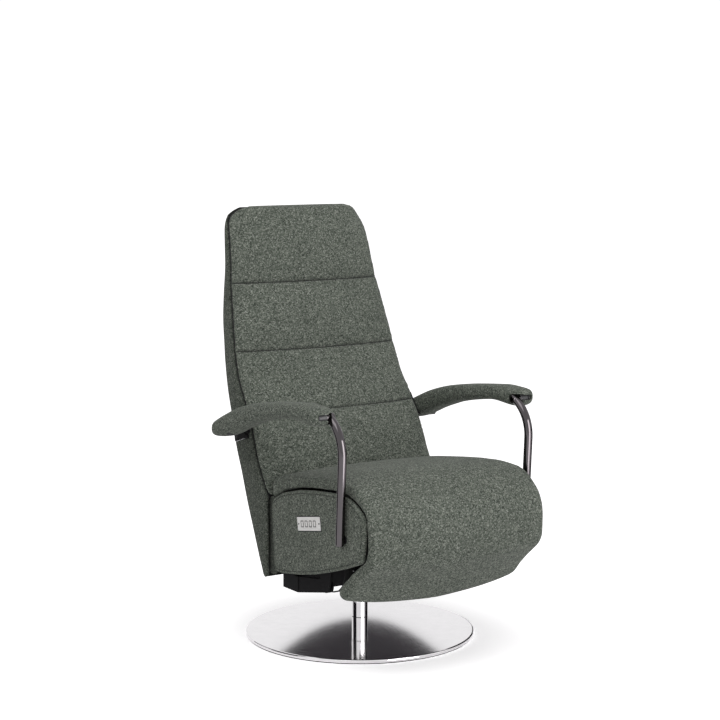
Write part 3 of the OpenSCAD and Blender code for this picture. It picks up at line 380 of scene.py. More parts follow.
def smooth_line(points, count, closed=False):
    p = np.array(points, float)
    if closed:
        q = np.vstack([p[-1], p, p[0], p[1]])
    else:
        q = np.vstack([2 * p[0] - p[1], p, 2 * p[-1] - p[-2]])
    fine = []
    for k in range(1, len(q) - 2):
        a, b, c, d = q[k - 1], q[k], q[k + 1], q[k + 2]
        for t in np.linspace(0, 1, 16, endpoint=False):
            fine.append((2 * b + (c - a) * t + (2 * a - 5 * b + 4 * c - d) * t * t
                         + (3 * b - a - 3 * c + d) * t ** 3) / 2)
    if not closed:
        fine.append(q[-2])
    fine = np.array(fine + ([fine[0]] if closed else []))
    along = np.concatenate([[0], np.cumsum(np.linalg.norm(np.diff(fine, axis=0), axis=1))])
    places = np.linspace(0, along[-1], count + 1)[:-1] if closed else np.linspace(0, along[-1], count)
    return np.stack([np.interp(places, along, fine[:, k]) for k in range(p.shape[1])], axis=1)


def ring_normals(ring):
    step = np.roll(ring, -1, axis=0) - np.roll(ring, 1, axis=0)
    step /= np.linalg.norm(step, axis=1)[:, None]
    return np.stack([step[:, 1], -step[:, 0]], axis=1)


def edge_stations(half, radius, edge_steps, mid_steps):
    ends = [(half - radius + radius * math.sin(a), radius * (1 - math.cos(a)))
            for a in np.linspace(math.radians(88), 0, edge_steps, endpoint=False)]
    mid = [(x, 0.0) for x in np.linspace(radius - half, half - radius, mid_steps)]
    return [(-x, d) for x, d in ends] + mid + [(x, d) for x, d in reversed(ends)]


def ring_faces(ring_count, ring_size):
    last = ring_count * ring_size - 1
    faces = [(j * ring_size + i, (j + 1) * ring_size + i, (j + 1) * ring_size + (i + 1) % ring_size,
              j * ring_size + (i + 1) % ring_size)
             for j in range(ring_count - 1) for i in range(ring_size)]
    return faces + [tuple(range(ring_size)), tuple(range(last, last - ring_size, -1))]


fabric = fabric_material("fabric_heather")
lining = plain_material("lining_black", (0.012, 0.012, 0.012), 0.95, bump_scale=300.0, bump_depth=0.0004)
slot_finished("fabric", fabric)
slot_finished("lining", lining)
finished(lining, "seat_board", "leg_board")

outer_line = [(18, 422), (16, 437), (6, 451), (-30, 464), (-102, 475), (-192, 487), (-280, 494),
              (-345, 493), (-377, 487), (-400, 477), (-421, 462), (-446, 439), (-461, 409),
              (-465, 385), (-465, 355), (-463, 325), (-452, 303), (-432, 284), (-405, 262),
              (-375, 235), (-350, 208), (-334, 198)]
inner_line = [(-318, 200), (-310, 208), (-311, 220), (-322, 233), (-345, 251), (-380, 279),
              (-410, 301), (-430, 314), (-440, 335), (-441, 380), (-438, 415), (-432, 430),
              (-420, 440), (-397, 452), (-362, 465), (-309, 468), (-274, 466), (-201, 459),
              (-126, 448), (-50, 429), (6, 402), (15, 413)]
cover_half, cover_round, inset_most = 0.2655, 0.013, 0.011
crown_height, tip_hang = 0.0095, 0.025
tip_front, tip_run, tip_top = -0.422, 0.10, 0.30
seam_reach, side_held = 0.006, 0.258
blend_reach = 12
ring = smooth_line(outer_line + inner_line, 300, closed=True) / 1000
normals = ring_normals(ring)
line_points = np.array(outer_line + inner_line) / 1000
nearest = np.array([np.argmin(np.linalg.norm(line_points - p, axis=1)) for p in ring])
swell_share = np.where(nearest < len(outer_line), 1.0, 0.0)
lapped_share = np.concatenate([swell_share[-blend_reach:], swell_share, swell_share[:blend_reach]])
swell_share = np.convolve(lapped_share, np.ones(2 * blend_reach + 1) / (2 * blend_reach + 1), "valid")
drop_share = np.clip((ring[:, 0] - tip_front) / tip_run, 0, 1) * (ring[:, 1] < tip_top)
verts = []
cover_stations = edge_stations(cover_half, cover_round, 8, 44)
for x, inset in cover_stations:
    swell = 1 - (x / cover_half) ** 2
    crown = crown_height * swell ** 0.8
    moved = ring + normals * (swell_share * (crown - np.minimum(inset, inset_most)))[:, None]
    lower = drop_share * tip_hang * (1 - (abs(x) / cover_half) ** 2.6)
    for (y, z), d in zip(moved, lower):
        verts.append((x, y, z - d))
verts = np.array(verts)
cover_mesh = mesh_object("seat_cover", verts, ring_faces(len(cover_stations), len(ring)))
cover_under = np.array(inner_line[3:-1]) / 1000


def seat_held(points):
    under = smooth_line(cover_under, 120)
    gap = np.min(np.linalg.norm(points[:, None, 1:] - under[None], axis=2), axis=1)
    return (gap < seam_reach) | (np.abs(points[:, 0]) > side_held) | (points[:, 1] > 0.0)


plumped(cover_mesh, 0.007, seat_held)
cover_mesh.data.materials.clear()
cover_mesh.data.materials.append(fabric)
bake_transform(cover_mesh)
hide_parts("seat_cushion", "leg_cushion")


# Back cushion: foam in a sewn cover on the back board, built as level rings from foot to top. Three
# sewn channels pull it in, the fields between them swell, and the foot tucks in behind the seat with
# a few pulled folds at its corners.
gap_line = np.array([(34, 396), (54, 427), (87, 484), (124, 565), (165, 632), (204, 689),
                     (232, 758), (270, 872), (292, 944), (320, 1059), (349, 1126)]) / 1000
width_line = np.array([(0.177, 0.266), (0.2, 0.272), (0.396, 0.272), (0.455, 0.272),
                       (0.509, 0.272), (0.607, 0.268), (0.708, 0.262), (0.765, 0.258),
                       (0.875, 0.245), (0.942, 0.237), (0.988, 0.2305), (1.037, 0.2265),
                       (1.077, 0.2225), (1.099, 0.2180), (1.114, 0.2120), (1.127, 0.2035),
                       (1.138, 0.1910), (1.146, 0.1750), (1.152, 0.150)])
gap_smooth = smooth_line(gap_line, 160)
width_smooth = smooth_line(width_line, 160)


def gap_y(z):
    return float(np.interp(z, gap_smooth[:, 1], gap_smooth[:, 0]))


def back_half(z):
    return float(np.interp(z, width_smooth[:, 0], width_smooth[:, 1]))


back_foot, back_top = 0.398, 1.1515
gap_top, lean_from, lean_slope = 1.126, 1.118, 0.6
top_round, foot_round, foot_inset = 0.032, 0.03, 0.02
tuck, rim_depth, side_depth, crown_depth, field_swell = 0.006, 0.008, 0.0100, 0.037, 0.004
fold_top, fold_run, fold_depth = 0.56, 0.16, 0.0028
channel_reach, channel_press = 0.045, 0.0042
seams = (0.607, 0.764, 0.944)
levels = list(np.linspace(back_foot, back_top, 130)) + list(np.linspace(1.10, back_top, 17))
for seam in seams:
    levels += [seam + d for d in (-0.012, -0.008, -0.005, -0.003, -0.0015, 0,
                                  0.0015, 0.003, 0.005, 0.008, 0.012)]
for edge in (0.0005, 0.0015, 0.003, 0.005):
    levels += [back_foot + edge, back_top - edge]
levels = sorted(set(round(z, 5) for z in levels))
front_u = np.sin(np.linspace(-math.pi / 2, math.pi / 2, 81))
fields = (back_foot,) + seams + (back_top,)


def cushion_front(u, z):
    root = gap_y(min(z, gap_top)) - tuck - max(0.0, z - lean_from) * lean_slope
    end = math.sqrt(max(0.0, 1 - (max(0.0, z - (back_top - top_round)) / top_round) ** 2))
    end *= math.sqrt(max(0.0, 1 - (max(0.0, back_foot + foot_round - z) / foot_round) ** 2))
    low = min(1.0, 0.1 + 6.4 * max(0.0, (z - back_foot) / (back_top - back_foot)))
    mid = 1 - u * u
    depth = rim_depth + side_depth * (1 - abs(u) ** 9) ** 0.5 + low * crown_depth * mid ** 0.85
    for seam in seams:
        off = abs(z - seam) / channel_reach
        if off < 1:
            depth -= (0.0045 + 0.0065 * mid ** 0.4) * (1 - math.sqrt(off)) * (1 - off)
    for a, b in zip(fields[:-1], fields[1:]):
        if a <= z <= b:
            t = (z - a) / (b - a)
            depth += field_swell * mid * math.sin(math.pi * t)
    return root, root - end * max(depth, 0.002)


verts = []
ring_size = len(front_u) + 10
for z in levels:
    half = back_half(z) - 0.0005
    if z < back_foot + foot_inset:
        half -= foot_inset - math.sqrt(max(0.0, foot_inset ** 2 - (back_foot + foot_inset - z) ** 2))
    root = cushion_front(0, z)[0]
    for u in front_u:
        x, y = u * half, cushion_front(u, z)[1]
        side = abs(u)
        fold = 0.0
        if z < fold_top and side > 0.35:
            reach = (fold_top - z) / fold_run
            fold = fold_depth * reach * math.sin((side * 0.9 + (z - 0.4) * 3.1) * 26)
            fold *= min(1, (side - 0.35) / 0.2)
            fold *= max(0.0, 1 - abs(side - 0.72) / 0.33)
        bump = 0.0022 * noise.noise(Vector((x / 0.085, z / 0.06, 3.1)))
        bump += 0.0012 * noise.noise(Vector((x / 0.03, z / 0.02, 7.7)))
        verts.append((x, y - (fold + bump) * (1 - side ** 8), z))
    for u in np.linspace(0.972, -0.972, 10):
        verts.append((u * half, root, z))
cushion = mesh_object("back_cushion_cover", verts, ring_faces(len(levels), ring_size))


def back_held(points):
    x, y, z = points.T
    seam_gap = np.min([np.abs(z - seam) for seam in seams], axis=0)
    root = np.interp(z, gap_smooth[:, 1], gap_smooth[:, 0])
    return (y > root - 0.013) | (seam_gap < 0.005) | (z > back_top - 0.008) | (z < back_foot + foot_inset)


plumped(cushion, 0.010, back_held)
points = coords(cushion.data)
root = np.interp(points[:, 2], gap_smooth[:, 1], gap_smooth[:, 0])
front = np.clip((root - points[:, 1] - 0.012) / 0.008, 0, 1)
for seam in seams:
    points[:, 1] += channel_press * front * np.exp(-((points[:, 2] - seam) / 0.0034) ** 2)
set_coords(cushion.data, points)
cushion.data.materials.clear()
cushion.data.materials.append(fabric)
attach(cushion, "back")
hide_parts("back_cushion")
finished(lining, "back_board")


# Back channels: a thin dark tube runs from side to side at the bottom of each sewn channel and paints the
# shade in the channel's groove. The channel is stitched through the cover and the foam, and pulls the
# cushion in.
def line_tube(name, points, radius, material, sides=6):
    p = np.array(points, float)
    step = np.gradient(p, axis=0)
    step /= np.linalg.norm(step, axis=1)[:, None]
    verts = []
    for point, direction in zip(p, step):
        d = Vector(direction)
        a = d.orthogonal().normalized()
        if abs(d.z) < 0.9:
            a = d.cross(Vector((0, 0, 1))).normalized()
        b = d.cross(a)
        for k in range(sides):
            t = 2 * math.pi * k / sides
            verts.append(Vector(point) + radius * (math.cos(t) * a + math.sin(t) * b))
    tube = mesh_object(name, verts, ring_faces(len(p), sides))
    tube.data.materials.append(material)
    return tube


# A dark look for thin lines that paint the shade in seams and recesses.
seam_shade = plain_material("seam_shadow", (0.012, 0.013, 0.012), 0.9)
for number, seam in enumerate(seams):
    line = []
    for u in np.linspace(-0.985, 0.985, 90):
        y = cushion_front(u, seam)[1]
        line.append((u * (back_half(seam) - 0.0005), y - 0.0002, seam))
    channel_shade = line_tube("back_channel_shade_%d" % (number + 1), line, 0.0011, seam_shade)
    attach(channel_shade, "back")


# Back shell: the boxed rear of the back, board with thin foam under the same fabric, stapled inside. Its
# fabric is drawn darker, as painted shade on the shell's sides.
# Each level is a channel open to the front, with rounded rear corners. Below the cushion its front
# edges run down beside the seat.
# The shell's darker copy of the fabric is painted shade.
shell_shaded_fabric = fabric_material("fabric_heather_shell_shaded", 0.74)
shell_rear = smooth_line(np.array([(48, 180.5), (59, 183), (68, 189), (74, 197), (79, 207),
                                   (89, 228), (102, 257), (127, 313), (153, 370), (183, 447),
                                   (216, 524), (239, 589), (266, 654), (283, 707), (300, 774),
                                   (320, 841), (329, 895), (337, 976), (346, 1058), (352, 1107),
                                   (351, 1130), (346, 1142), (338, 1149)]) / 1000, 160)
shell_foot = smooth_line(np.array([(44, 180.5), (38, 185), (35, 200), (34, 247), (34, 311),
                                   (36, 370), (34.5, 396)]) / 1000, 60)
foot_levels = [0.1807, 0.1815, 0.183, 0.1855, 0.189, 0.192]
top_levels = [1.130, 1.134, 1.138, 1.142, 1.145, 1.147]
shell_levels = sorted(set(foot_levels + list(np.round(np.linspace(0.195, gap_top, 120), 5)) + top_levels))
corner_most, wall_most, lip = 0.024, 0.010, 0.003
verts = []
for z in shell_levels:
    half = back_half(z)
    rear = float(np.interp(z, shell_rear[:, 1], shell_rear[:, 0]))
    front = gap_y(min(z, gap_top)) - max(0.0, z - gap_top) * 0.5
    if z <= shell_foot[-1, 1]:
        front = float(np.interp(z, shell_foot[:, 1], shell_foot[:, 0]))
    front = min(front, rear - 0.002)
    depth = rear - front
    corner = min(corner_most, depth * 0.6)
    wall = min(wall_most, depth * 0.45)
    right = [(half - wall + lip, front), (half - lip, front)]
    right += [(half, front + lip), (half + 0.0006, (front + rear - corner) / 2)]
    right += [(half - corner + corner * math.cos(t), rear - corner + corner * math.sin(t))
              for t in np.linspace(0, math.pi / 2, 9)]
    right += [(half * s, rear + 0.002 * (1 - s * s)) for s in np.linspace(0.85, 0, 8)]
    inner = [(0.0, rear - wall), (half - wall - corner * 0.7, rear - wall),
             (half - wall, rear - wall - corner * 0.6), (half - wall, (front + rear - wall) / 2),
             (half - wall, front + lip)]
    left = [(-x, y) for x, y in reversed(right[:-1])]
    inner_left = [(-x, y) for x, y in reversed(inner[1:])]
    level_ring = right + left + inner_left + inner
    verts += [(x, y, z) for x, y in level_ring]
shell = mesh_object("back_shell_cover", verts, ring_faces(len(shell_levels), len(level_ring)))
shell.data.materials.append(shell_shaded_fabric)
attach(shell, "back")
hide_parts("back_shell")


# Gap strip: a black strip all round in the joint between the cushion and the shell. It stands where the
# deep joint is in shade and paints that shade as a dark line.
shade_strip_in, shade_strip_front, shade_strip_rear, shade_strip_thick = 0.0065, 0.013, 0.006, 0.0012
strip = []
for z in sorted(list(np.linspace(0.415, 1.10, 60)) + list(np.linspace(1.10, 1.143, 12))):
    joint_y = gap_y(min(z, gap_top)) - max(0.0, z - lean_from) * lean_slope
    strip.append((back_half(z) - shade_strip_in, joint_y, z))
path = [(-x, y, z) for x, y, z in strip] + [(x, y, z) for x, y, z in reversed(strip)]
verts = []
for x, y, z in path:
    lean = 0.0015 if x > 0 else -0.0015
    verts += [(x, y - shade_strip_front, z), (x, y + shade_strip_rear, z),
              (x - lean, y + shade_strip_rear, z - shade_strip_thick), (x - lean, y - shade_strip_front, z - shade_strip_thick)]
gap_shade_strip = mesh_object("back_gap_shade_strip", verts, ring_faces(len(path), 4))
# The black lining look on this strip is painted shade.
gap_shade_strip.data.materials.append(lining)
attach(gap_shade_strip, "back")


# Rear bands: a padded strip in the same fabric at each side of the back's foot, sewn to the shell. Its
# fabric is drawn much darker, as painted shade.
# It lies inside the side panel's inner face, so it passes the panel when the back goes down.
ends = (("right", -1), ("left", 1))
# The band's much darker copy of the fabric is painted shade.
band_shaded_fabric = fabric_material("fabric_heather_band_shaded", 0.58)


def even_ring(points, count):
    p = np.array(points + [points[0]], float)
    along = np.concatenate([[0], np.cumsum(np.linalg.norm(np.diff(p, axis=0), axis=1))])
    places = np.linspace(0, along[-1], count, endpoint=False)
    return np.stack([np.interp(places, along, p[:, k]) for k in range(2)], axis=1)


band_line = [(3, 206), (4, 396), (10, 401), (30, 401), (44, 395), (50, 380), (52, 250), (50, 205),
             (42, 190), (22, 190)]
band_ring = even_ring(band_line, 90) / 1000
band_middle = np.array([0.028, 0.31])
band_profile = [(0.05, 0.248), (0.97, 0.248), (1.0, 0.250), (1.0, 0.2545), (0.985, 0.2562),
                (0.93, 0.257), (0.6, 0.2572), (0.05, 0.2572)]
for end, side in ends:
    rings = [(band_middle + (band_ring - band_middle) * share, x) for share, x in band_profile]
    verts = [(side * x, y, z) for ring, x in rings for y, z in ring]
    band = mesh_object("rear_band_" + end, verts, ring_faces(len(rings), len(band_ring)))
    band.data.materials.append(band_shaded_fabric)
    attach(band, "back")


# Side panels: board with thin foam under fabric, screwed to the seat rails, with softly rounded borders and
# a sewn line just inside them; a thin dark tube in that line's groove paints its shade. The outline is the
# photographed one. Rings run from the hidden inner face round the border to the crowned face.
def softened(points, radii, steps=6):
    out = []
    for k, b in enumerate(points):
        if k not in radii:
            out.append(b)
            continue
        a, c = points[k - 1], points[(k + 1) % len(points)]
        b, u, v = Vector(b), Vector(a) - Vector(b), Vector(c) - Vector(b)
        start, end = b + u.normalized() * radii[k], b + v.normalized() * radii[k]
        out += [tuple((1 - t) ** 2 * start + 2 * t * (1 - t) * b + t * t * end)
                for t in np.linspace(0, 1, steps)]
    return out


panel_line = [(5, 367), (6, 397), (-50, 424), (-126, 443), (-201, 454), (-274, 461), (-309, 463),
              (-362, 460), (-397, 447), (-427, 428), (-438, 407), (-435, 369), (-429, 330),
              (-427, 310), (-345, 280), (-273, 257), (-200, 237), (-125, 221), (-47, 209),
              (-8, 207), (-1, 286)]
panel_soft = {1: 22, 11: 12, 13: 12, 19: 14}
panel_ring = even_ring(softened(panel_line, panel_soft), 260) / 1000
for lap in range(3):
    panel_ring = (np.roll(panel_ring, 1, axis=0) + 2 * panel_ring + np.roll(panel_ring, -1, axis=0)) / 4
panel_middle = np.array([-0.21, 0.335])
panel_profile = [(2.5, 259.4), (0.8, 260.2), (0.0, 262.0), (0.0, 267.0), (0.5, 269.6),
                 (1.6, 271.5), (3.2, 272.7), (5.0, 273.2), (6.4, 273.1), (7.2, 272.3),
                 (7.7, 271.5), (8.2, 272.3), (9.0, 273.2), (11, 273.8), (15, 274.0), (22, 274.2)]
face_x, face_crown = 0.2742, 0.0004
seam_in, seam_x, seam_shade_radius = 0.0077, 0.2719, 0.0006
inward = ring_normals(panel_ring)
if np.mean(np.sum(inward * (panel_ring - panel_middle), axis=1)) > 0:
    inward = -inward
rings = [(panel_ring + inward * inset / 1000, x / 1000) for inset, x in panel_profile]
last = rings[-1][0]
rings += [(panel_middle + (last - panel_middle) * share, face_x + face_crown * (1 - share))
          for share in (0.85, 0.7, 0.55, 0.4, 0.25, 0.1)]
seam_ring = panel_ring + inward * seam_in
seam_ring = np.vstack([seam_ring, seam_ring[:1]])
for end, side in ends:
    verts = [(side * (x + 0.0003 * noise.noise(Vector((y * 14, z * 14, side)))), y, z) for ring, x in rings
             for y, z in ring]
    panel = mesh_object("side_panel_%s_cover" % end, verts, ring_faces(len(rings), len(panel_ring)))
    panel.data.materials.append(fabric)
    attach(panel, "seat")
    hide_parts("side_panel_" + end)
    # A thin dark tube in the sewn line's groove: painted shade.
    panel_shade_tube = line_tube("panel_shade_tube_" + end, [(side * seam_x, y, z) for y, z in seam_ring],
                             seam_shade_radius, seam_shade)
    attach(panel_shade_tube, "seat")


# Arm tubes: dark chromed steel tube, straight from the lower pivot, bent back into the pad's mouth,
# with a cross barrel welded on at the top that turns on the pad's front pin.
gunmetal = plain_material("gunmetal", (0.082, 0.075, 0.079), 0.09, metallic=1.0)
satin_grey = plain_material("satin_grey", (0.075, 0.074, 0.078), 0.5, shine=0.35)
slot_finished("tube_metal", gunmetal)
arm_low = np.array([-0.353, 0.357])
arm_high = np.array([-0.305, 0.657])
tube_x, tube_radius, tube_sides = 0.288, 0.011, 40
plain_from = 0.2990
lean, slope, bend_radius = math.radians(3.2), math.radians(28), 0.098
up = np.array([-math.sin(lean), math.cos(lean)])
top_run = np.array([math.cos(slope), math.sin(slope)])
gap = arm_high - arm_low
rise = (gap[1] * top_run[0] - gap[0] * top_run[1]) / (up[1] * top_run[0] - up[0] * top_run[1])
bend_corner = arm_low + up * rise
bend_angle = math.pi / 2 + lean - slope
set_in = bend_radius * math.tan(bend_angle / 2)
bend_middle = bend_corner - up * set_in + np.array([up[1], -up[0]]) * bend_radius
tube_path = [arm_low + up * t for t in np.linspace(-0.0105, rise - set_in, 24)]
tube_path += [bend_middle + bend_radius * (math.cos(t) * np.array([-up[1], up[0]]) + math.sin(t) * up)
              for t in np.linspace(0, bend_angle, 22)[1:]]
top_length = np.linalg.norm(arm_high - bend_corner)
tube_path += [bend_corner + top_run * t for t in np.linspace(set_in, top_length, 6)[1:]]
tube_path = np.array(tube_path)
barrel_profile = [(0.277, 0.004), (0.277, 0.0106), (0.2776, 0.0113), (0.2785, 0.0116),
                  (0.2995, 0.0116), (0.3225, 0.0116), (0.3238, 0.0113), (0.3242, 0.0104),
                  (0.3242, 0.004)]


def turned(profile, count):
    return [(x, r * math.cos(a), r * math.sin(a)) for x, r in profile
            for a in np.linspace(0, 2 * math.pi, count, endpoint=False)]


def faced_out(obj):
    work = bmesh.new()
    work.from_mesh(obj.data)
    bmesh.ops.recalc_face_normals(work, faces=work.faces)
    work.to_mesh(obj.data)
    work.free()


for end, side in ends:
    step = np.gradient(tube_path, axis=0)
    step /= np.linalg.norm(step, axis=1)[:, None]
    foot_profile = [(-0.0049, 0.0045), (-0.0045, 0.0085), (-0.0025, 0.0104), (0.0, tube_radius)]
    rings = [(tube_path[0] + step[0] * d, r, step[0]) for d, r in foot_profile]
    rings += [(point, tube_radius, direction) for point, direction in zip(tube_path[1:], step[1:])]
    verts = []
    for point, r, direction in rings:
        for a in np.linspace(0, 2 * math.pi, tube_sides, endpoint=False):
            out_x = side * (tube_x + r * math.cos(a))
            y, z = point + np.array([direction[1], -direction[0]]) * r * math.sin(a)
            verts.append((out_x, y, z))
    faces = ring_faces(len(rings), tube_sides)
    faces += [tuple(len(verts) + k for k in face) for face in ring_faces(len(barrel_profile), tube_sides)]
    barrel = turned(barrel_profile, tube_sides)
    verts += [(side * x, arm_high[0] + dy, arm_high[1] + dz) for x, dy, dz in barrel]
    tube = mesh_object("arm_tube_%s_polished" % end, verts, faces)
    faced_out(tube)
    tube.data.materials.append(gunmetal)
    tube.data.materials.append(satin_grey)
    for polygon in tube.data.polygons:
        if min(abs(tube.data.vertices[v].co.x) for v in polygon.vertices) > plain_from:
            polygon.material_index = 1
    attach(tube, "arm_tube_" + end)
    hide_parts("arm_tube_" + end)


# Arm pivots: a black steel bolt through each side panel into the arm tube's foot, with a spacer that
# keeps the tube clear of the panel.
spacer_profile = [(0.259, 0.0050), (0.2736, 0.0050), (0.2737, 0.0098), (0.2745, 0.0104),
                  (0.2766, 0.0104), (0.2768, 0.0090), (0.2768, 0.0050), (0.296, 0.0050),
                  (0.2965, 0.002)]
spacer_sides = 32
verts, faces = [], []
for end, side in ends:
    spacer = turned(spacer_profile, spacer_sides)
    faces += [tuple(len(verts) + k for k in face) for face in ring_faces(len(spacer_profile), spacer_sides)]
    verts += [(side * x, arm_low[0] + dy, arm_low[1] + dz) for x, dy, dz in spacer]
spacers = mesh_object("arm_pivot_spacers", verts, faces)
spacers.data.materials.append(black_metal)
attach(spacers, "seat")
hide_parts("arm_pivot_bolts")


# Armrest pads: foam on a steel core in a sewn cover, round in plan at both ends and thickest at
# the nose. The mouth under the nose takes the tube's barrel; its lips are rounded off.
pad_nose_y, pad_tail_y = -0.331, 0.219
pad_top = smooth_line([(-331, 672), (-322, 679), (-310, 683), (-270, 685.5), (-240, 686),
                       (-210, 683.5), (-137, 676), (-79, 669), (-3, 657), (50, 645), (103, 629),
                       (158, 607), (186, 594), (219, 578)], 200) / 1000
pad_under = smooth_line([(-331, 652), (-324, 644), (-312, 638), (-290, 636), (-260, 638),
                         (-225, 641), (-187, 640), (-113, 629), (-47, 616), (-11, 606), (53, 585),
                         (112, 561), (150, 549), (190, 543), (219, 543)], 200) / 1000
pad_middle, pad_half, pad_sides = 0.3105, 0.0349, 72
barrel_clear = 0.0126


def end_round(y, radius_front, radius_rear):
    front = max(0.0, pad_nose_y + radius_front - y) / radius_front
    rear = max(0.0, y - pad_tail_y + radius_rear) / radius_rear
    return math.sqrt(max(0.0, 1 - front ** 2.2)) * math.sqrt(max(0.0, 1 - rear ** 2.2))


def pad_rings(side):
    verts = []
    shares = (1 - np.cos(np.linspace(0.06, math.pi - 0.06, 90))) / 2
    places = pad_nose_y + (pad_tail_y - pad_nose_y) * shares
    for y in places:
        top = float(np.interp(y, pad_top[:, 0], pad_top[:, 1]))
        under = float(np.interp(y, pad_under[:, 0], pad_under[:, 1]))
        tall = (top - under) / 2 * (0.25 + 0.75 * end_round(y, 0.020, 0.020))
        wide = pad_half * end_round(y, 0.036, 0.030)
        middle = (top + under) / 2
        for a in np.linspace(0, 2 * math.pi, pad_sides, endpoint=False):
            c, q = math.cos(a), math.sin(a)
            x = math.copysign(abs(c) ** (2 / 2.9), c)
            z = math.copysign(abs(q) ** (2 / 2.5), q)
            verts.append((side * (pad_middle + x * wide), y, middle + z * tall))
    return verts, len(places)


def prism(name, points, x0, x1):
    n = len(points)
    verts = [(x0, y, z) for y, z in points] + [(x1, y, z) for y, z in points]
    faces = [(k, (k + 1) % n, n + (k + 1) % n, n + k) for k in range(n)]
    obj = mesh_object(name, verts, faces + [tuple(range(n - 1, -1, -1)), tuple(range(n, 2 * n))])
    faced_out(obj)
    return obj


barrel_back = [(arm_high[0] + barrel_clear * math.cos(a), arm_high[1] + barrel_clear * math.sin(a))
               for a in np.linspace(-math.pi / 2, math.pi / 2, 14)]
tube_mouth = barrel_back + [(-0.36, 0.6731), (-0.40, 0.6745), (-0.40, 0.60), (-0.33, 0.625)]
barrel_mouth = barrel_back + [(-0.314, 0.6675), (-0.40, 0.6695), (-0.40, 0.6530), (-0.314, 0.6530)]
finished(satin_grey, "armrest_core_left", "armrest_core_right")
for end, side in ends:
    verts, count = pad_rings(side)
    pad = mesh_object("armrest_pad_%s_cover" % end, verts, ring_faces(count, pad_sides))
    faced_out(pad)
    for name, outline, x0, x1 in (("tube_slot", tube_mouth, 0.26, 0.3015),
                                  ("barrel_room", barrel_mouth, 0.30, 0.3300)):
        room = prism(name, outline, side * x0, side * x1)
        applied(pad, "BOOLEAN", operation="DIFFERENCE", object=room, solver="EXACT")
        bpy.data.objects.remove(room)
    applied(pad, "REMESH", mode="VOXEL", voxel_size=0.0022, use_smooth_shade=True)
    applied(pad, "SMOOTH", factor=0.5, iterations=4)
    for polygon in pad.data.polygons:
        polygon.use_smooth = True
    pad.data.materials.clear()
    pad.data.materials.append(fabric)
    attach(pad, "armrest_" + end)
    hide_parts("armrest_pad_" + end)


# Shell plates: the black steel plate on each side of the shell that holds the pad's rear pin. It is cut
# from sheet and screwed on. A thin steel strip along its lower front edge paints a highlight there.
plate_line = softened([(122, 543), (137, 575), (150, 597), (205, 568), (198, 523), (187, 526)],
                      {0: 3, 2: 5, 3: 5, 4: 4})
plate_ring = even_ring(plate_line, 90) / 1000
plate_middle = np.array([0.165, 0.560])
plate_profile = [(0.05, 0.2712), (0.985, 0.2712), (1.0, 0.2716), (1.0, 0.2732), (0.985, 0.2738),
                 (0.05, 0.2738)]
for end, side in ends:
    rings = [(plate_middle + (plate_ring - plate_middle) * share, x) for share, x in plate_profile]
    verts = [(side * x, y, z) for ring, x in rings for y, z in ring]
    plate = mesh_object("shell_plate_" + end, verts, ring_faces(len(rings), len(plate_ring)))
    plate.data.materials.append(black_metal)
    # A thin steel strip on the plate's lower front edge: painted highlight.
    edge_line = [(side * 0.2743, 0.188 - 0.046 * t, 0.5253 + 0.0147 * t) for t in np.linspace(0, 1, 12)]
    plate_highlight = line_tube("shell_plate_highlight_" + end, edge_line, 0.0007, steel)
    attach(plate_highlight, "back")
    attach(plate, "back")


# Keypad: a pale moulded housing in the side panel with four buttons. Its print is a dark square outline on
# each button and a small dash at each end. A squared rim stands on the housing, and a dark frame between it
# and the panel paints the shade of the recess round it.
keypad_tilt = math.radians(10.3)
key_along = Vector((0, math.cos(keypad_tilt), -math.sin(keypad_tilt)))
key_up = Vector((0, math.sin(keypad_tilt), math.cos(keypad_tilt)))
key_middle = Vector((0, -0.18700, 0.36700))
mark_size, mark_x = (0.0130, 0.0168), (0.2772, 0.27752)
dash_size, dash_x, dash_off = (0.0062, 0.0034), (0.2758, 0.27625), 0.0500
rim_size, rim_x = (0.1122, 0.0352), (0.2700, 0.27605)
recess_shade_size, recess_shade_x = (0.1142, 0.0396), (0.2735, 0.27535)


def rounded_ring(center, width, height, radius):
    ring = []
    for sx, sz, start in ((1, 1, 0), (-1, 1, 1), (-1, -1, 2), (1, -1, 3)):
        for t in np.linspace(0, math.pi / 2, 6):
            a = start * math.pi / 2 + t
            ring.append(center + key_along * (sx * (width / 2 - radius) + radius * math.cos(a))
                        + key_up * (sz * (height / 2 - radius) + radius * math.sin(a)))
    return ring


def rounded_frame(center, size, radius, band_width):
    width, height = size
    return (rounded_ring(center, width, height, radius),
            rounded_ring(center, width - 2 * band_width, height - 2 * band_width,
                         max(0.0003, radius - band_width)))


def frame_mesh(name, frames, depths, material, body="seat"):
    x_low, x_high = depths
    verts, faces = [], []
    for ring_out, ring_in in frames:
        n, base = len(ring_out), len(verts)
        for ring, x in ((ring_out, x_low), (ring_out, x_high), (ring_in, x_high), (ring_in, x_low)):
            verts += [(-x, p.y, p.z) for p in ring]
        faces += [(base + j * n + i, base + j * n + (i + 1) % n, base + ((j + 1) % 4) * n + (i + 1) % n,
                   base + ((j + 1) % 4) * n + i) for j in range(4) for i in range(n)]
    obj = mesh_object(name, verts, faces, smooth=False)
    obj.data.materials.append(material)
    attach(obj, body)
    return obj


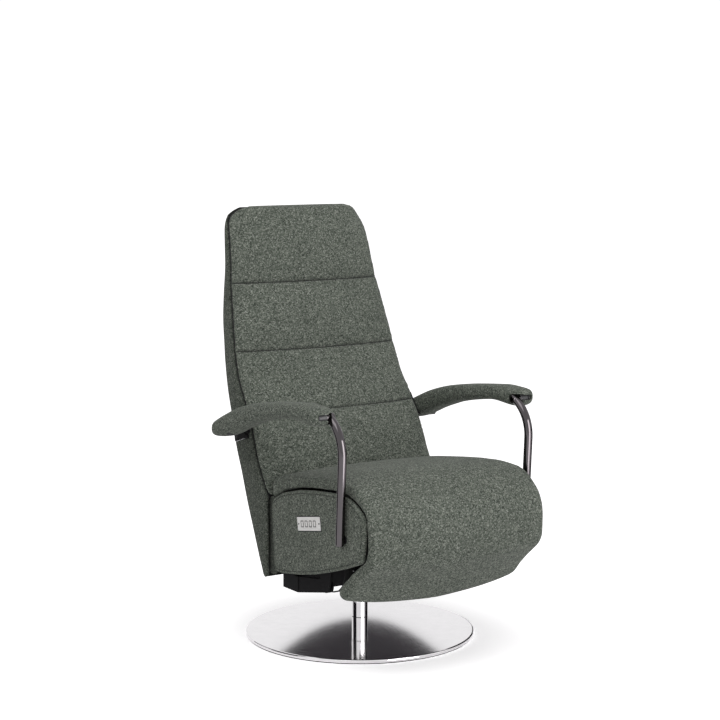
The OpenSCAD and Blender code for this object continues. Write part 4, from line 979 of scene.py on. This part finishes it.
key_plastic = plain_material("key_plastic", (0.93, 0.915, 0.90), 0.5, shine=0.3)
key_grey = plain_material("key_grey", (0.035, 0.034, 0.037), 0.6, shine=0.3)
slot_finished("key_plastic", key_plastic)
for number in (1, 2, 3, 4):
    low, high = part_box("button_%d" % number)
    middle = (Vector(low) + Vector(high)) / 2
    mark_ring = rounded_frame(Vector((0, middle.y, middle.z)), mark_size, 0.0016, 0.0019)
    mark = frame_mesh("button_mark_%d" % number, [mark_ring], mark_x, key_grey, "button_%d" % number)
dashes = [rounded_frame(key_middle + key_along * off, dash_size, 0.0016, 0.0014)
          for off in (-dash_off, dash_off)]
key_dashes = frame_mesh("keypad_dashes", dashes, dash_x, key_grey)
rim = frame_mesh("keypad_rim", [rounded_frame(key_middle, rim_size, 0.0020, 0.0018)], rim_x, key_plastic)
# A dark frame round the rim: painted shade of the recess.
recess_shade_frame = frame_mesh("keypad_recess_shade", [rounded_frame(key_middle, recess_shade_size, 0.0022, 0.0030)], recess_shade_x,
                   seam_shade)


# Apron: black cloth across the seat frame behind the leg rest, stapled along its upper edge. It
# hides the mechanism from the front.
apron_line = smooth_line([(-0.250, 0.199), (-0.270, 0.203), (-0.292, 0.214), (-0.310, 0.234),
                          (-0.318, 0.262), (-0.318, 0.300)], 30)
apron_x = np.linspace(-0.250, 0.250, 12)
apron_rear, apron_up = 0.0012, 0.0015
verts = []
for y, z in apron_line:
    verts += [(x, y, z) for x in apron_x] + [(-x, y + apron_rear, z + apron_up) for x in apron_x]
apron = mesh_object("frame_apron", verts, ring_faces(len(apron_line), 2 * len(apron_x)))
apron.data.materials.append(lining)
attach(apron, "seat")


# Frame screw: the small bright steel head that shows just below the front of the side panel. It
# holds the panel's foot to the seat frame.
screw_place, screw_sides = (-0.318, 0.265), 20
screw_profile = [(0.224, 0.0018), (0.2262, 0.0028), (0.2271, 0.0022), (0.2274, 0.0008)]
verts = [(-x, screw_place[0] + dy, screw_place[1] + dz) for x, dy, dz in turned(screw_profile, screw_sides)]
screw = mesh_object("frame_screw", verts, ring_faces(len(screw_profile), screw_sides))
screw.data.materials.append(steel)
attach(screw, "seat")
